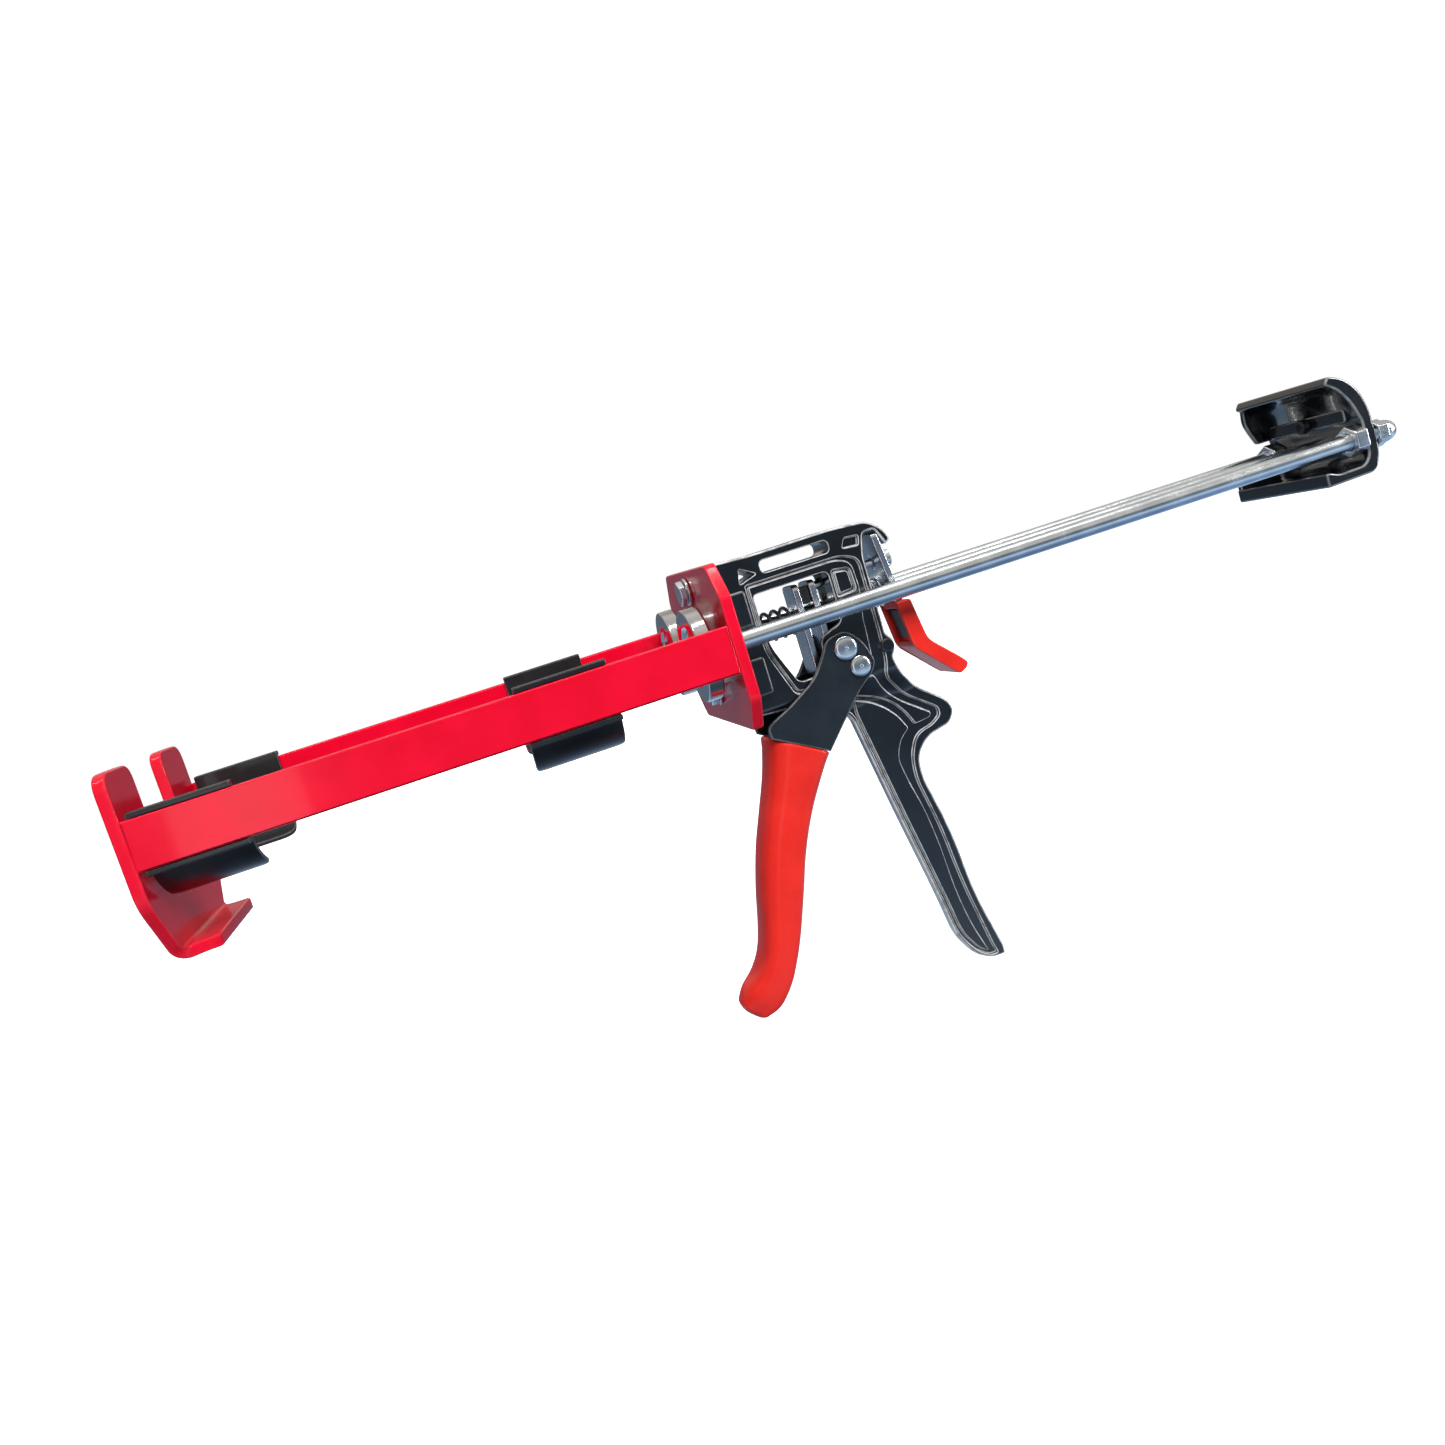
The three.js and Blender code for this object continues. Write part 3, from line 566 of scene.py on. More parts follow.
SLOT_HALF, SLOT_Z = 20.7, 3
slot_foot = [
    [SLOT_HALF * math.cos(a), SLOT_Z + SLOT_HALF * math.sin(a)]
    for a in [math.pi + math.pi * k / 28 for k in range(1, 28)]
]
front_outline = rounded(
    [[-54, -22.3, 6], [-54, 29, 8], [-SLOT_HALF, 29, 7], [-SLOT_HALF, SLOT_Z]] + slot_foot
    + [[SLOT_HALF, SLOT_Z], [SLOT_HALF, 29, 7], [54, 29, 8], [54, -22.3, 6], [38, -44.5, 5],
       [31.5, -52.5, 5], [31, -61.07, 2.5], [-31, -61.07, 2.5], [-31.5, -52.5, 5], [-38, -44.5, 5]]
)
BEND_CUTS = [BEND_Z - BEND_LENGTH * k / 8 for k in range(9)]
sheet_skin = slab([front_outline], flat_sheet, 0, PLATE, 0.9)
piece("front_plate", rebuilt(sheet_skin, BEND_CUTS, fold,
                             lambda co: BEND_Z - BEND_LENGTH - TOUCH <= co.y <= BEND_Z + TOUCH))

octagon = rounded([[-54, -21.6, 2.5], [-43.2, -35.3, 2.5], [43.2, -35.3, 2.5], [54, -21.6, 2.5],
                   [54, 21.6, 2.5], [43.2, 35.3, 2.5], [-43.2, 35.3, 2.5], [-54, 21.6, 2.5]])
rear_holes = [circle(y, 0, ROD_HOLE) for y in (-ROD_SPACING, 0, ROD_SPACING)]
rear_holes += [circle(0, z, BOLT_HOLE) for z in BOLT_ZS.values()]
piece("rear_plate", slab([octagon] + rear_holes, along_x, 0, PLATE, 0.8))
side_bar = box2(-238.2, -10, -0.1, 10, 0.4)
piece("side_bar_near", slab([side_bar], along_y, -BAR_OUTER, -BAR_INNER, 0.7))
piece("side_bar_far", slab([side_bar], along_y, BAR_INNER, BAR_OUTER, 0.7))

# ---- cartridge clips ----
CLIP_LENGTH = 38
WING_RADIUS, WING_INNER, WING_THICK = 24.3, 23.3, 2
WING_START, WING_END = 1.1 * math.pi * WING_RADIUS, 1.46 * math.pi * WING_RADIUS
CHANNEL = [[-54, 10.3, 0.3], [-54, 12.5, 1], [-48.7, 12.5, 1], [-48.7, -12.5, 1], [-54, -12.5, 1],
           [-54, -10.3, 0.3], [-50.7, -10.3, 0.3], [-50.7, 10.3, 0.3]]


def wrap_wing(u, v, t):
    angle, radius = v / WING_RADIUS, WING_INNER + t
    return (u, -ROD_SPACING + radius * math.cos(angle), radius * math.sin(angle))


def clip(name, side, start):
    skin = slab([rounded(CHANNEL)], along_x, start, start + CLIP_LENGTH, 0.5)
    panel = rounded([[start, WING_START, 1], [start + CLIP_LENGTH, WING_START, 1],
                     [start + CLIP_LENGTH, WING_END, 7], [start, WING_END, 7]])
    wing = slab([panel], flat_sheet, 0, WING_THICK, 0.6)
    cuts = [WING_START + (WING_END - WING_START) * k / 14 for k in range(1, 14)]
    skin.add(rebuilt(wing, cuts, wrap_wing, lambda co: True))
    piece(name, skin if side < 0 else skin.mirror())


for place_name, clip_start in (("front", -235.5), ("middle", -88.5)):
    clip(f"{place_name}_clip_near", -1, clip_start)
    clip(f"{place_name}_clip_far", 1, clip_start)


# ---- fasteners ----
def hexagon(y, z, radius):
    turn = [math.pi / 3 * k + math.pi / 6 for k in range(6)]
    return rounded([[y + radius * math.cos(a), z + radius * math.sin(a), 0.5] for a in turn], 3)


def rod(y, z, x0, x1, radius, chamfer=0.4):
    return turned([[x0, 0], [x0, radius, chamfer], [x1, radius, chamfer], [x1, 0]], at_x(y, z))


HEAD_RADIUS, HEAD_FRONT, HEAD_BACK = 5.77, -4.8, -1.8
BOLT_FRONT, BOLT_END = -2.2, 18
WASHER_RADIUS, WASHER_FRONT, WASHER_BACK = 6.3, -1.5, -0.3
for bolt_name, bolt_z in BOLT_ZS.items():
    head = slab([hexagon(0, bolt_z, HEAD_RADIUS)], along_x, HEAD_FRONT, HEAD_BACK, 0.6)
    piece(f"frame_bolt_{bolt_name}", head.add(rod(0, bolt_z, BOLT_FRONT, BOLT_END, BOLT_RADIUS)))
    washer_rings = [circle(0, bolt_z, WASHER_RADIUS), circle(0, bolt_z, BOLT_HOLE)]
    washer = slab(washer_rings, along_x, WASHER_FRONT, WASHER_BACK, 0.25)
    piece(f"frame_washer_{bolt_name}", washer)


# ---- cast body and handle ----
BODY = [
    [BODY_X0, 34.8, 2], [30, 33.6, 4], [66, 34, 4], [84, 32.8, 5], [90.5, 27.5, 3], [93, 21.8, 1.5],
    [90, 20, 1], [86.5, 28, 1.5], [81, 28, 2], [WALL_REAR_X, 18, 2], [WALL_REAR_X, -18, 1], [81, -21, 1.2],
    [81, -26, 1.2], [79, -29, 1], [80.3, -36.4, 4], [85.3, -45.3, 4], [97.5, -55, 3], [100, -61, 3],
    [96.3, -66.5, 3], [84, -69, 5], [77.5, -76, 5], [76.8, -86, 6], [82.5, -113, 12], [85.3, -146.4, 12],
    [91.7, -174.2, 3], [91.6, -178.3, 1.5], [84.6, -178.1, 3], [77, -173.5, 5], [71, -163, 6],
    [67.7, -140.1, 10], [60.6, -100.5, 12], [52.1, -49, 4], [40, -38, 5], [BODY_X0, -35.3, 2],
]
POCKET = [
    [22.6, 21.2, 1], [68, 21.4, 4], [76, 18, 4], [76, -17, 2], [75.4, -30, 3], [73.2, -37, 3],
    [78.9, -46.9, 4], [92.4, -57.3, 2.5], [92.6, -61.2, 2], [88.2, -64.2, 3], [79.4, -66.2, 5],
    [74.6, -75, 6], [73.6, -86, 8], [78.4, -111, 12], [80.8, -138, 12], [86.8, -172, 1.2],
    [88, -176.4, 0.8], [84.5, -176.4, 2], [78.3, -172.2, 4], [72.6, -162.6, 8], [69.3, -139.8, 12],
    [62.3, -100.3, 12], [53.9, -48.6, 3], [48.5, -42, 3], [45, -32, 3], [31, -32, 3], [23.5, -11, 3],
    [22.6, 0, 2],
]
WINDOW_RIM = [
    [23.8, 20, 1], [65.5, 20.1, 4], [72.2, 17.2, 4], [73, 5, 4], [70.6, -8, 4], [69.6, -26, 2],
    [68.6, -31, 1], [48.3, -30.6, 1.5], [32.2, -30.6, 2], [25, -11, 3], [23.8, 0, 2],
]
DRIVE_WINDOW = [
    [24.9, 16.2, 2], [60.5, 16.6, 3], [60.5, -7, 3], [49, -11, 3], [46.5, -26.5, 2], [34, -27, 3],
    [27, -10, 2], [24.9, 0, 2],
]
BLOCK_POCKET = [[62.2, 16.4, 1.5], [70.6, 15.2, 2], [71.2, 4.6, 2], [62.2, 4, 1]]
BLOCK = [[63.3, 15.1, 1.2], [69.4, 14.2, 1.5], [69.9, 5.8, 1.5], [63.3, 5.3, 1]]
CREST = [
    [52.5, -34.2, 1.5], [67.8, -34.2, 1.5], [70.2, -42, 4], [75.8, -48.8, 4], [88.9, -58.9, 1.2],
    [87.8, -60.8, 1.2], [80.2, -61.6, 1.2], [77.6, -55.4, 3], [73.3, -49.3, 3], [66.2, -44, 3],
    [54.8, -39.8, 1],
]
GRIP_PANEL = [
    [55.4, -42.4, 0.8], [63.2, -45.8, 4], [69.2, -50.6, 4], [73.6, -56, 4], [76.6, -62.4, 1],
    [71.2, -66.8, 4], [67.9, -74.4, 5], [69.6, -85, 8], [73.4, -101, 10], [75.6, -119, 10],
    [76.6, -140, 10], [79.2, -158, 8], [84.2, -174.6, 1], [79.9, -171.4, 3], [74.2, -162, 8],
    [70.7, -139.5, 10], [63.7, -100, 10], [55.2, -48.4, 2],
]
NOSE_POCKET = [[70, 24, 1], [72, 28.2, 1.2], [78.6, 27.6, 1], [77.6, 23.4, 1]]
CAVITY = [[24.5, 16.9, 2], [62, 16.9, 2], [62, -31, 2], [30, -31, 2], [24.5, -10, 2]]
BRACE_HOLE = [[20.6, 22.3, 1], [29, 24.9, 1], [22, 29, 1]]
RIM_LEVEL, POCKET_LEVEL, PANEL_LEVEL, CAVITY_LEVEL = 11.0, 9.1, 10.7, 8.25
RIM_EDGE, STEP_EDGE = 1.1, 0.5
LUG_HALF, LUG_BACK, LUG_RUBBING_AND_HIGHLIGHT = 16, 20.5, 0.2

# The outlines above draw the handle as if it were as wide as the housing. It is thinner, so below THIN_TOP
# its faces are moved towards the middle, and its outline grows away from EYE, where the camera is, to look
# the same from there.
EYE = (-97.572, -477.088, 37.314)
THIN_TOP, THIN_END, THINNED_BY = -33.0, -46.0, 8.0


def thinned(u, v, t):
    share = min(max((THIN_TOP - v) / (THIN_TOP - THIN_END), 0), 1)
    drop = THINNED_BY * share * share * (3 - 2 * share)
    grow = (-EYE[1] - RIM_LEVEL + drop) / (-EYE[1] - RIM_LEVEL)
    return (EYE[0] + (u - EYE[0]) * grow, math.copysign(abs(t) - drop, t), EYE[2] + (v - EYE[2]) * grow)


body_region = (rounded(BODY), RIM_LEVEL, [
    (box2(31.5, 24.2, 64, 29.8, 2.5), "through", []),
    (rounded(BRACE_HOLE), "through", []),
    (rounded(NOSE_POCKET), POCKET_LEVEL, []),
    (rounded(POCKET), POCKET_LEVEL, [
        (rounded(WINDOW_RIM), PANEL_LEVEL, [
            (rounded(DRIVE_WINDOW), "cavity", []),
            (capsule(DRIVE_PIN, SLOT_END, 3), "cavity", []),
            (rounded(BLOCK_POCKET), POCKET_LEVEL, [(rounded(BLOCK), PANEL_LEVEL, [])]),
        ]),
        (rounded(CREST), PANEL_LEVEL, []),
        (rounded(GRIP_PANEL), PANEL_LEVEL, []),
    ]),
])
THIN_CUTS = [THIN_TOP - (THIN_TOP - THIN_END) * k / 12 for k in range(13)]
body = relief(flat_sheet, body_region, (rounded(CAVITY), CAVITY_LEVEL), RIM_EDGE, STEP_EDGE)
body = rebuilt(body, THIN_CUTS, thinned, lambda co: THIN_END - TOUCH <= co.y <= THIN_TOP + TOUCH)
# The lugs' rounded edges get less of the painted edge highlight.
for low_z, high_z in ((4, 20), (-27, -10)):
    lug = slab([box2(BODY_X0, low_z, LUG_BACK, high_z, 2)], along_y, -LUG_HALF, LUG_HALF, 1.2)
    body.add(faded(lug, LUG_RUBBING_AND_HIGHLIGHT))
# The round boss on the housing's rear edge, and the seat of the drive spring.
body.add(turned([[-12, 0], [-12, 3.2, 0.8], [12, 3.2, 0.8], [12, 0]], at_y(77.6, -23.5), 32))
body.add(turned([[18.3, 0], [18.3, 8, 0.5], [24.9, 8, 0.8], [24.9, 0]], at_x(0, 0), 40))
piece("cast_body", body)


# ---- trigger ----
LEVER_ARM = [
    [13.1, -41.6, 2], [17.4, -38.8, 3], [25.2, -35.6, 5], [40, -27, 6], [46, -19, 5], [50, -12, 4],
    [60, -10.5, 4], [66.5, -18, 4], [69.5, -28, 4], [66.7, -32.5, 3], [57.8, -39, 5], [37.8, -60.3],
    [13.6, -46.6],
]
GRIP = [
    [13.6, -46.7, 38, -61, 14.3], [8.6, -63.3, 30.6, -71.7, 13.6], [2.2, -78.8, 22.4, -85, 13],
    [-4.4, -95, 14.8, -100.6, 13], [-9.9, -112.5, 8.1, -118.4, 13], [-14, -129, 1.8, -134.6, 12.8],
    [-17.7, -140, -3.3, -145.8, 12.4], [-23, -147.8, -8.9, -156, 11.6], [-29.6, -153.4, -16.2, -164.6, 10],
    [-33, -158, -23, -168, 7.5],
]
GRIP_SECTION = [
    [0, 0.25], [0.04, 0.55], [0.12, 0.78], [0.27, 0.94], [0.45, 1], [0.66, 1], [0.86, 0.98], [0.96, 0.84],
    [1, 0.55],
]


def grip_ring(station, inset, lift=0.0, shrink=1.0):
    """One ring round the grip, drawn in by an inset and moved up the grip by a lift."""
    front, rear, half = np.array(station[0:2]), np.array(station[2:4]), station[4]
    across = (rear - front) / np.linalg.norm(rear - front)
    up = np.array([-across[1], across[0]]) * lift
    middle = (front + rear) / 2
    front = middle + (front - middle) * shrink + across * inset + up
    rear = middle + (rear - middle) * shrink - across * inset + up
    half = half * shrink - inset
    side = [[*(front + (rear - front) * depth), share * half] for depth, share in GRIP_SECTION]
    other = [[x, z, -y] for x, z, y in reversed(side)]
    loop = spline(side + other, 4, closed=True)
    return [(x, y, z) for x, z, y in loop]


stations = spline(GRIP, 5)
MOUTH = [(2.35, -4), (2.3, -0.3), (1.7, 0.2), (0.7, 0.25), (0.15, -0.1), (-0.1, -0.7), (0, -1.6)]
TOE = [(-0.9, 0.94), (-1.8, 0.82), (-2.6, 0.62), (-3.1, 0.36), (-3.3, 0.12)]
# The coating's rolled mouth goes by (inset, lift) and its rounded toe by (lift, shrink).
sleeve_rings = [grip_ring(stations[0], inset, lift) for inset, lift in MOUTH]
sleeve_rings += [grip_ring(s, 0) for s in stations[2:]]
sleeve_rings += [grip_ring(stations[-1], 0, lift, shrink) for lift, shrink in TOE]
piece("trigger_sleeve", skinned(sleeve_rings))

NECK = [(5.8, 0.5), (5.5, 0.75), (4.9, 0.93), (4, 0.99), (2.6, 1), (1.2, 1), (0, 1)]
COATING, NECK_STATIONS = 2.6, 5  # the coating's thickness, and how many stations down the steel goes
neck_rings = [grip_ring(stations[0], COATING - 0.2, lift, shrink) for lift, shrink in NECK]
neck_rings += [grip_ring(s, COATING) for s in stations[1:NECK_STATIONS + 1]]
lever = skinned(neck_rings)
for low, high in ((-CHEEK_OUTER, -CHEEK_INNER), (CHEEK_INNER, CHEEK_OUTER)):
    lever.add(slab([rounded(LEVER_ARM, 8)], along_y, low, high, 0.8))
piece("trigger_lever", lever)


def rivet(node, at, radius):
    rim, crown, under = 15.1, 16.3, 14.1
    shank = 2.6
    profile = [
        [-crown + 0.25, 0], [-crown + 0.2, 0.5, 0.1], [-crown, 1, 0.3], [-crown + 0.25, radius * 0.55, 1],
        [-crown + 0.5, radius * 0.8, 1], [-rim, radius, 0.5], [-under, radius, 0.2], [-under, shank, 0.2],
    ]
    profile += [[-t, r, *cut] for t, r, *cut in reversed(profile)]
    piece(node, turned(profile, at_y(*at)))


DRIVE_PIN_HEAD, PIVOT_HEAD = 5.4, 4.8
rivet("drive_pin", DRIVE_PIN, DRIVE_PIN_HEAD)
rivet("trigger_pivot_pin", PIVOT, PIVOT_HEAD)

# ---- ratchet drive ----
DRIVE_PLATE_THICK, SPACER_GAP = 3, 0.3
DRIVE_PLATE_XS = {"front": 43.5, "rear": 51.3}
DRIVE_PLATE_RINGS = [box2(-8, -27, 8, 15, 3), circle(0, 0, ROD_HOLE)]
for plate_name, plate_x in DRIVE_PLATE_XS.items():
    plate = slab(DRIVE_PLATE_RINGS, along_x, plate_x, plate_x + DRIVE_PLATE_THICK, 0.5)
    piece(f"drive_plate_{plate_name}", plate)
spacer_front = DRIVE_PLATE_XS["front"] + DRIVE_PLATE_THICK + SPACER_GAP
spacer_back = DRIVE_PLATE_XS["rear"] - SPACER_GAP
piece("drive_plate_spacer", slab([box2(-6, 5.2, 6, 13, 1.2)], along_x, spacer_front, spacer_back, 0.5))
spring = piece("drive_spring", helix(18.6, 43.2, COIL_RADIUS, 0.8, 5))
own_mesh(spring)
piece("plate_stop_pin", rod(0, 11.5, 54.6, 69, 2))

# ---- brake and thumb release ----
BRAKE_TOP_Z, BRAKE_FOOT_Z, BRAKE_TOP_X, BRAKE_THICK = 26.3, -6.1, 84, 3.2
BRAKE_LEAN = 3.8
BRAKE_SLOPE = BRAKE_LEAN / (BRAKE_TOP_Z - BRAKE_FOOT_Z)
SCREW_Z, SCREW_HEAD_X = 13.5, 90.6


def on_brake(u, v, t):
    """The brake plate leans back from its top edge."""
    return (BRAKE_TOP_X + t + (BRAKE_TOP_Z - v) * BRAKE_SLOPE, u, v)


brake_rings = [box2(-11, BRAKE_FOOT_Z, 11, BRAKE_TOP_Z, 2), circle(0, 0, 5), circle(0, SCREW_Z, 3.2)]
piece("brake_plate", slab(brake_rings, on_brake, 0, BRAKE_THICK, 0.5))
screw = rod(0, SCREW_Z, 72, 90.4, 2)
socket_head = [circle(0, SCREW_Z, 4), hexagon(0, SCREW_Z, 1.9)]
screw.add(slab(socket_head, along_x, SCREW_HEAD_X, SCREW_HEAD_X + 3.2, 0.4))
screw.add(rod(0, SCREW_Z, 89.9, 92.2, 3.4, 0.2))
piece("brake_screw", screw)
brake_spring = piece("brake_spring", helix(78.8, 86.6, COIL_RADIUS, 0.7, 2))
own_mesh(brake_spring)
RELEASE = [
    [87.2, -6.4, 0.8], [94.2, -6.4, 1.5], [97.3, -26.5, 3], [110.2, -39.4, 2.5], [112.6, -42.3, 0.8],
    [111.6, -44.6, 1.5], [107.6, -46.6, 1.5], [89.8, -28.4, 3],
]
RELEASE_TOP = [[87.8, -6.4, 0.8], [94.2, -6.4, 1.5], [94.7, -9.6, 0.5], [88.1, -9.6, 0.5]]
RELEASE_TONGUE = [
    [90.1, -26, 0.5], [97.2, -26, 0.8], [97.5, -26.8, 2.5], [110.2, -39.4, 2.5], [112.6, -42.3, 0.8],
    [111.6, -44.6, 1.5], [107.6, -46.6, 1.5], [90.4, -28.4, 3],
]
RELEASE_BLOCK = [[89.6, -10.2, 0.8], [92.6, -10.2, 0.8], [94.6, -24.6, 0.8], [91.4, -24.6, 0.8]]
LEG_INNER, LEG_OUTER, WEB_HALF, BLOCK_HALF = 8.1, 11, 10.6, 7.6
release = slab([rounded(RELEASE_TOP)], along_y, -WEB_HALF, WEB_HALF, 0.4)
for leg_low, leg_high in ((-LEG_OUTER, -LEG_INNER), (LEG_INNER, LEG_OUTER)):
    release.add(slab([rounded(RELEASE)], along_y, leg_low, leg_high, 0.7))
release.add(slab([rounded(RELEASE_TONGUE)], along_y, -WEB_HALF, WEB_HALF, 0.4))
piece("release_lever", release)
piece("release_block", slab([rounded(RELEASE_BLOCK)], along_y, -BLOCK_HALF, BLOCK_HALF, 0.6))

# ---- carriage: rods, pistons and pull yoke ----
PUSH_ROD_FRONT = -4.7
PISTON_FRONT, PISTON_BACK, PISTON_RADIUS = -12, -5, 20.3
PISTON = [[-10.5, 0], [-10.5, 12, 0.3], [PISTON_FRONT, 13.2, 0.5], [PISTON_FRONT, PISTON_RADIUS, 1],
          [PISTON_BACK, PISTON_RADIUS, 1], [PISTON_BACK, 0]]
CAP_SCREW = [[-12, 0], [-12, 1.6, 0.2], [-13.2, 2, 0.2], [-13.2, 4.6, 0.5], [-11.8, 5, 0.3], [-10.6, 5, 0.2],
             [-10.6, 2.6, 0.2], [11, 2.6, 0.4], [11, 0]]
piece("drive_rod", rod(0, 0, 0, ROD_REAR_X, ROD_RADIUS))
for side_name, side_y in (("near", -ROD_SPACING), ("far", ROD_SPACING)):
    piece(f"push_rod_{side_name}", rod(side_y, 0, PUSH_ROD_FRONT, ROD_REAR_X, ROD_RADIUS))
    piece(f"piston_{side_name}", turned(PISTON, at_x(side_y, 0), 96))
    piece(f"piston_screw_{side_name}", turned(CAP_SCREW, at_x(side_y, 0), 48))

YOKE = [
    [309, 32.3, 1.5], [317, 29.5, 4], [324, 22, 5], [327, 12, 4], [327.5, -8, 3], [324, -16.5, 5],
    [297, -17.2, 1.5], [297, -10.6, 1], [299.4, -10.6, 1], [304, -12.4, 3], [318, -12, 3], [321.5, -8, 3],
    [321.5, 8, 2], [318, 17.5, 4], [312.5, 25, 4], [306.5, 28.6, 1.5],
]
YOKE_WEB = [[309, 29, 1], [308, 21, 3], [310, 15.5, 3], [313, 9, 1.5], [323, 9], [323, 18], [315, 28]]
YOKE_FOOT = [[297.6, -14], [297.6, -6.5, 2], [304, -5, 3], [311, -5, 2], [314, -8.2, 1], [323, -8.2],
             [323, -14]]
YOKE_HALF, YOKE_RUBBING_AND_HIGHLIGHT = 30, 0.35
WEB_INNER, WEB_OUTER = 27, 29.8
LEDGE_FRONT, LEDGE_BACK = 318.2, 322.6
yoke = slab([rounded(YOKE, 10)], along_y, -YOKE_HALF, YOKE_HALF, 1.1)
for web in (YOKE_WEB, YOKE_FOOT):
    yoke.add(slab([rounded(web)], along_y, WEB_INNER, WEB_OUTER, 0.8))
yoke.add(slab([box2(-24, 9, 24, 15.6, 2)], along_x, LEDGE_FRONT, LEDGE_BACK, 0.8))
# The yoke's rounded edges get less of the painted edge highlight.
piece("yoke", faded(yoke, YOKE_RUBBING_AND_HIGHLIGHT))

NUT_RADIUS, NUT_BORE, NUT_FRONT, NUT_BACK = 7.5, 4.05, 314.7, 321.2
for nut_name, nut_y in (("near", -ROD_SPACING), ("far", ROD_SPACING)):
    nut_rings = [hexagon(nut_y, 0, NUT_RADIUS), circle(nut_y, 0, NUT_BORE)]
    piece(f"rod_nut_{nut_name}", slab(nut_rings, along_x, NUT_FRONT, NUT_BACK, 0.7))
DOME_HEX_RADIUS, DOME_FRONT, DOME_BACK = 6.6, 327.8, 333
DOME_CAP = [[332, 0], [332, 5.4, 0.2], [334.6, 5.4, 1], [338, 4.4, 2], [339.8, 2, 1.5], [339.8, 0]]
for nut_name, nut_y in (("near", -ROD_SPACING), ("centre", 0), ("far", ROD_SPACING)):
    dome = slab([hexagon(nut_y, 0, DOME_HEX_RADIUS)], along_x, DOME_FRONT, DOME_BACK, 0.6)
    dome.add(turned(DOME_CAP, at_x(nut_y, 0), 40))
    piece(f"dome_nut_{nut_name}", dome)

LOCK_Z = 12
LOCK_SCREW = [[315.4, 0], [315.4, 1.4, 0.2], [314.2, 1.8, 0.2], [314.2, 3.3, 0.6], [317.6, 3.6, 0.3],
              [321.2, 2, 0.2], [321.2, 0]]
piece("yoke_lock_screw", turned(LOCK_SCREW, at_x(0, LOCK_Z), 40))


# ---- floor, light and camera ----
def stage_material(name, colour, glow):
    material = bpy.data.materials.new(name)
    material.use_nodes = True
    shader = material.node_tree.nodes["Principled BSDF"]
    shader.inputs["Base Color"].default_value = (*colour, 1)
    shader.inputs["Roughness"].default_value = 0.9
    shader.inputs["Specular IOR Level"].default_value = 0.1
    shader.inputs["Emission Color"].default_value = (1, 1, 1, 1)
    shader.inputs["Emission Strength"].default_value = glow
    return material


floor_mesh = bpy.data.meshes.new("floor")
FLOOR_HALF, FLOOR_Z = 12.0, cad_box[0].z - 0.012
corners = [(x, y, FLOOR_Z) for x, y in ((-1, -1), (1, -1), (1, 1), (-1, 1))]
floor_mesh.from_pydata([(x * FLOOR_HALF, y * FLOOR_HALF, z) for x, y, z in corners], [], [(0, 1, 2, 3)])
floor = bpy.data.objects.new("floor", floor_mesh)
floor_mesh.materials.append(stage_material("floor", (0.9, 0.9, 0.9), 0.85))
bpy.context.scene.collection.objects.link(floor)
floor.visible_diffuse = False
floor.visible_glossy = False


MIDDLE = (0.04, 0, -0.04)


def softbox(name, location, wide, high, power, colour=(1, 1, 1), lights=True, mirrored=True):
    light = bpy.data.lights.new(name, "AREA")
    light.shape, light.size, light.size_y = "RECTANGLE", wide, high
    light.energy, light.color = power, colour
    made = bpy.data.objects.new(name, light)
    bpy.context.scene.collection.objects.link(made)
    made.location = location
    made.rotation_euler = (Vector(MIDDLE) - Vector(location)).to_track_quat("-Z", "Y").to_euler()
    made.visible_diffuse, made.visible_glossy = lights, mirrored


softbox("key", (0.15, -1.65, 1.25), 1.5, 0.8, 54, mirrored=False)
softbox("rear_fill", (0.1, 1.9, 0.8), 1.6, 1.0, 26, mirrored=False)
softbox("window", (0.15, -1.65, 1.25), 1.1, 0.7, 5, lights=False)
softbox("top_strip", (0.1, -0.3, 1.3), 1.7, 0.1, 8, (1, 0.98, 0.95), lights=False)
softbox("side_strip", (-0.55, -1.55, -0.1), 0.22, 1.0, 1.5, lights=False)
softbox("edge_right", (1.5, -0.55, 0.25), 0.14, 1.1, 14, lights=False)

world = bpy.data.worlds.new("studio")
bpy.context.scene.world = world
world.use_nodes = True
nodes, links = world.node_tree.nodes, world.node_tree.links
heading = nodes.new("ShaderNodeTexCoord")
height = nodes.new("ShaderNodeSeparateXYZ")
links.new(heading.outputs["Generated"], height.inputs[0])
spread = nodes.new("ShaderNodeMapRange")
spread.inputs["From Min"].default_value = -1
links.new(height.outputs["Z"], spread.inputs["Value"])


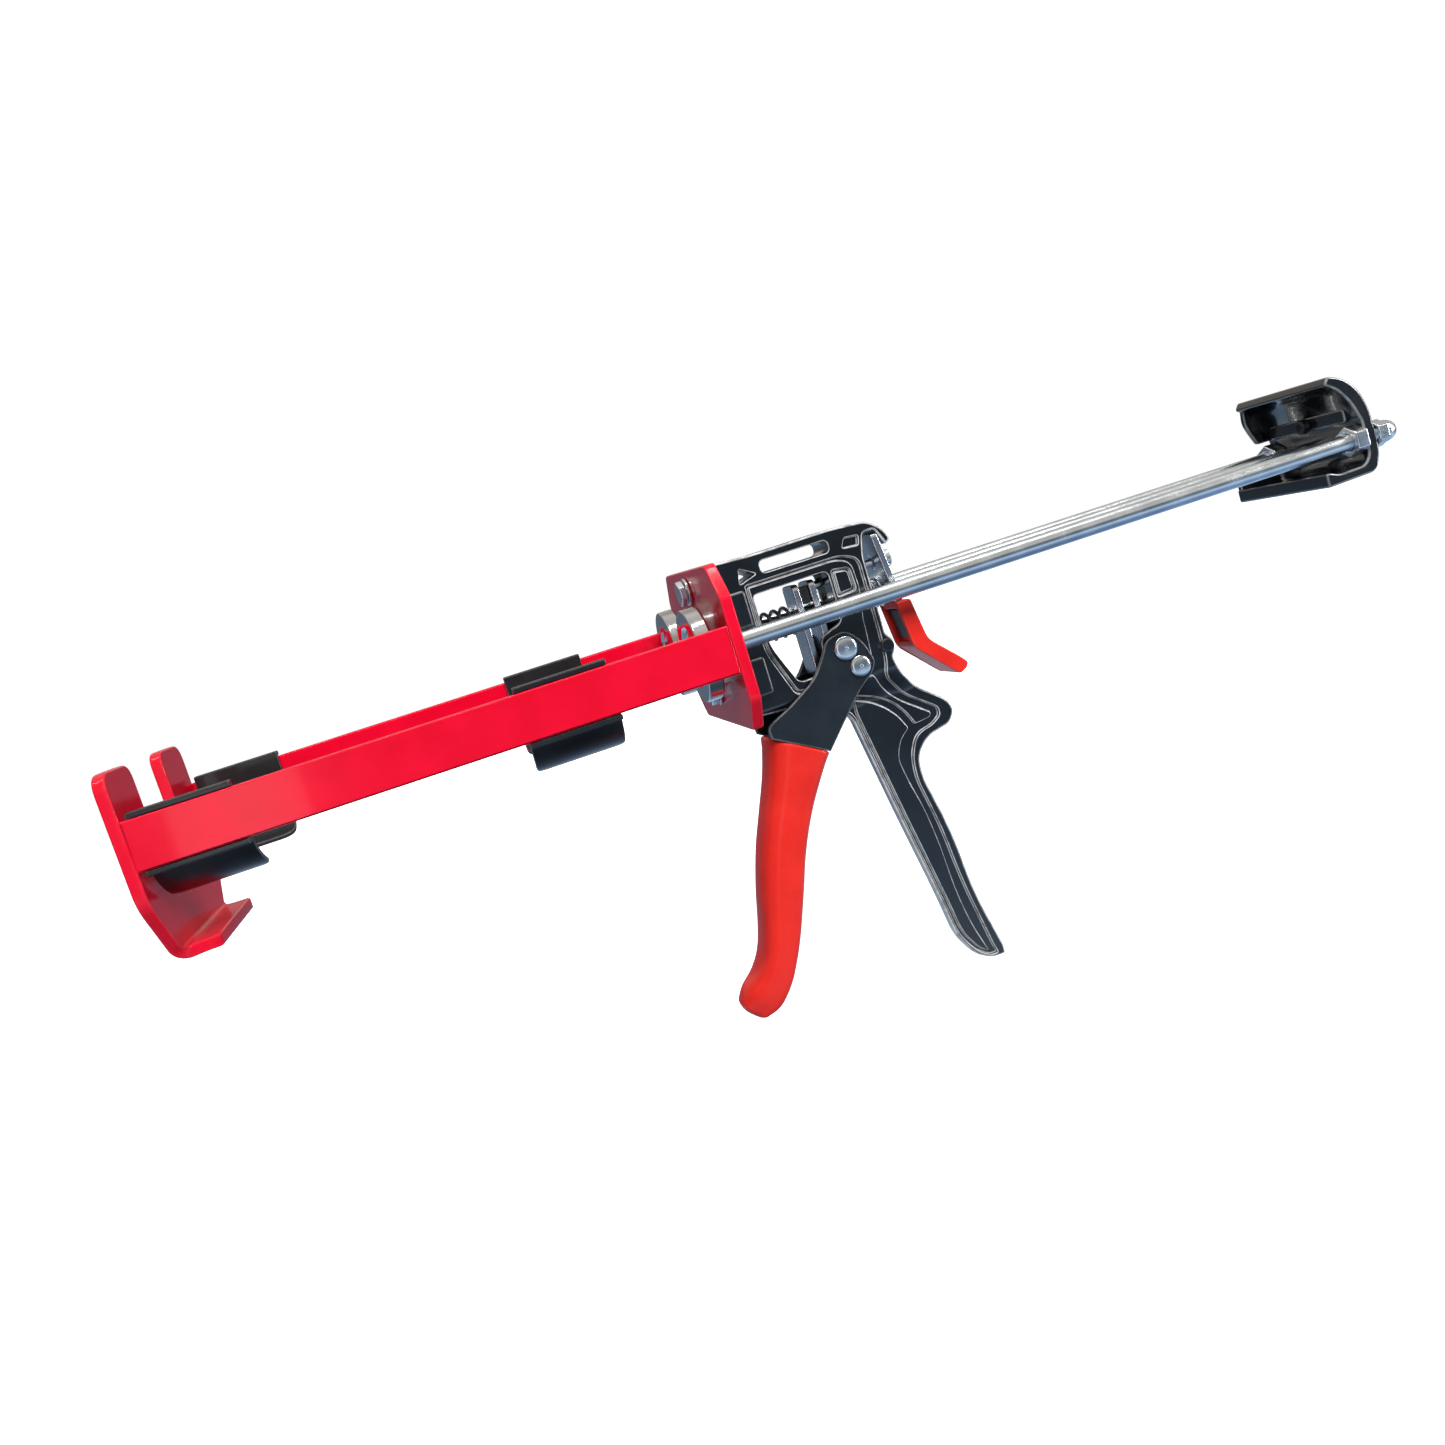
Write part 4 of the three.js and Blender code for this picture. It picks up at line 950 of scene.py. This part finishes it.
def gradient(stops):
    """A background whose colour goes from straight down, at 0, to straight up, at 1."""
    ramp = nodes.new("ShaderNodeValToRGB")
    links.new(spread.outputs["Result"], ramp.inputs[0])
    made = ramp.color_ramp.elements
    for index, (position, colour) in enumerate(stops):
        stop = made[index] if index < 2 else made.new(position)
        stop.position, stop.color = position, (*colour, 1)
    background = nodes.new("ShaderNodeBackground")
    links.new(ramp.outputs["Color"], background.inputs["Color"])
    return background


MIRRORED = [(0.0, (0.05, 0.07, 0.1)), (0.18, (0.3, 0.46, 0.72)), (0.27, (0.72, 0.88, 1.0)),
            (0.34, (0.26, 0.38, 0.54)), (0.4, (0.15, 0.21, 0.28)), (0.56, (0.1, 0.12, 0.15)),
            (0.64, (0.66, 0.61, 0.53)), (0.84, (0.5, 0.47, 0.42)), (0.94, (1.0, 0.97, 0.93)),
            (1.0, (0.7, 0.68, 0.65))]
AMBIENT = [(0.0, (0.6, 0.61, 0.63)), (0.4, (0.18, 0.18, 0.19)), (1.0, (0.19, 0.19, 0.2))]
backdrop = nodes["Background"]
backdrop.inputs["Color"].default_value = (1, 1, 1, 1)
kind = nodes.new("ShaderNodeLightPath")
lit = nodes.new("ShaderNodeMixShader")
seen = nodes.new("ShaderNodeMixShader")
for mix, share, first, second in (
    (lit, "Is Glossy Ray", gradient(AMBIENT), gradient(MIRRORED)),
    (seen, "Is Camera Ray", lit, backdrop),
):
    links.new(kind.outputs[share], mix.inputs[0])
    links.new(first.outputs[0], mix.inputs[1])
    links.new(second.outputs[0], mix.inputs[2])
links.new(seen.outputs[0], nodes["World Output"].inputs["Surface"])
bpy.context.scene.view_settings.view_transform = "Standard"

camera_data = bpy.data.cameras.new("camera")
camera_data.sensor_width = 36
camera_data.lens = 27.243
camera_data.shift_x, camera_data.shift_y = 0.04, -0.02
camera_data.clip_start, camera_data.clip_end = 0.01, 50
camera = bpy.data.objects.new("camera", camera_data)
bpy.context.scene.collection.objects.link(camera)
camera.matrix_world = Matrix.Translation(Vector(EYE) * MM) @ Matrix((
    (0.938193, 0.310992, -0.151912),
    (-0.176844, 0.053432, -0.982787),
    (-0.297522, 0.948909, 0.105127),
)).to_4x4()
bpy.context.scene.camera = camera
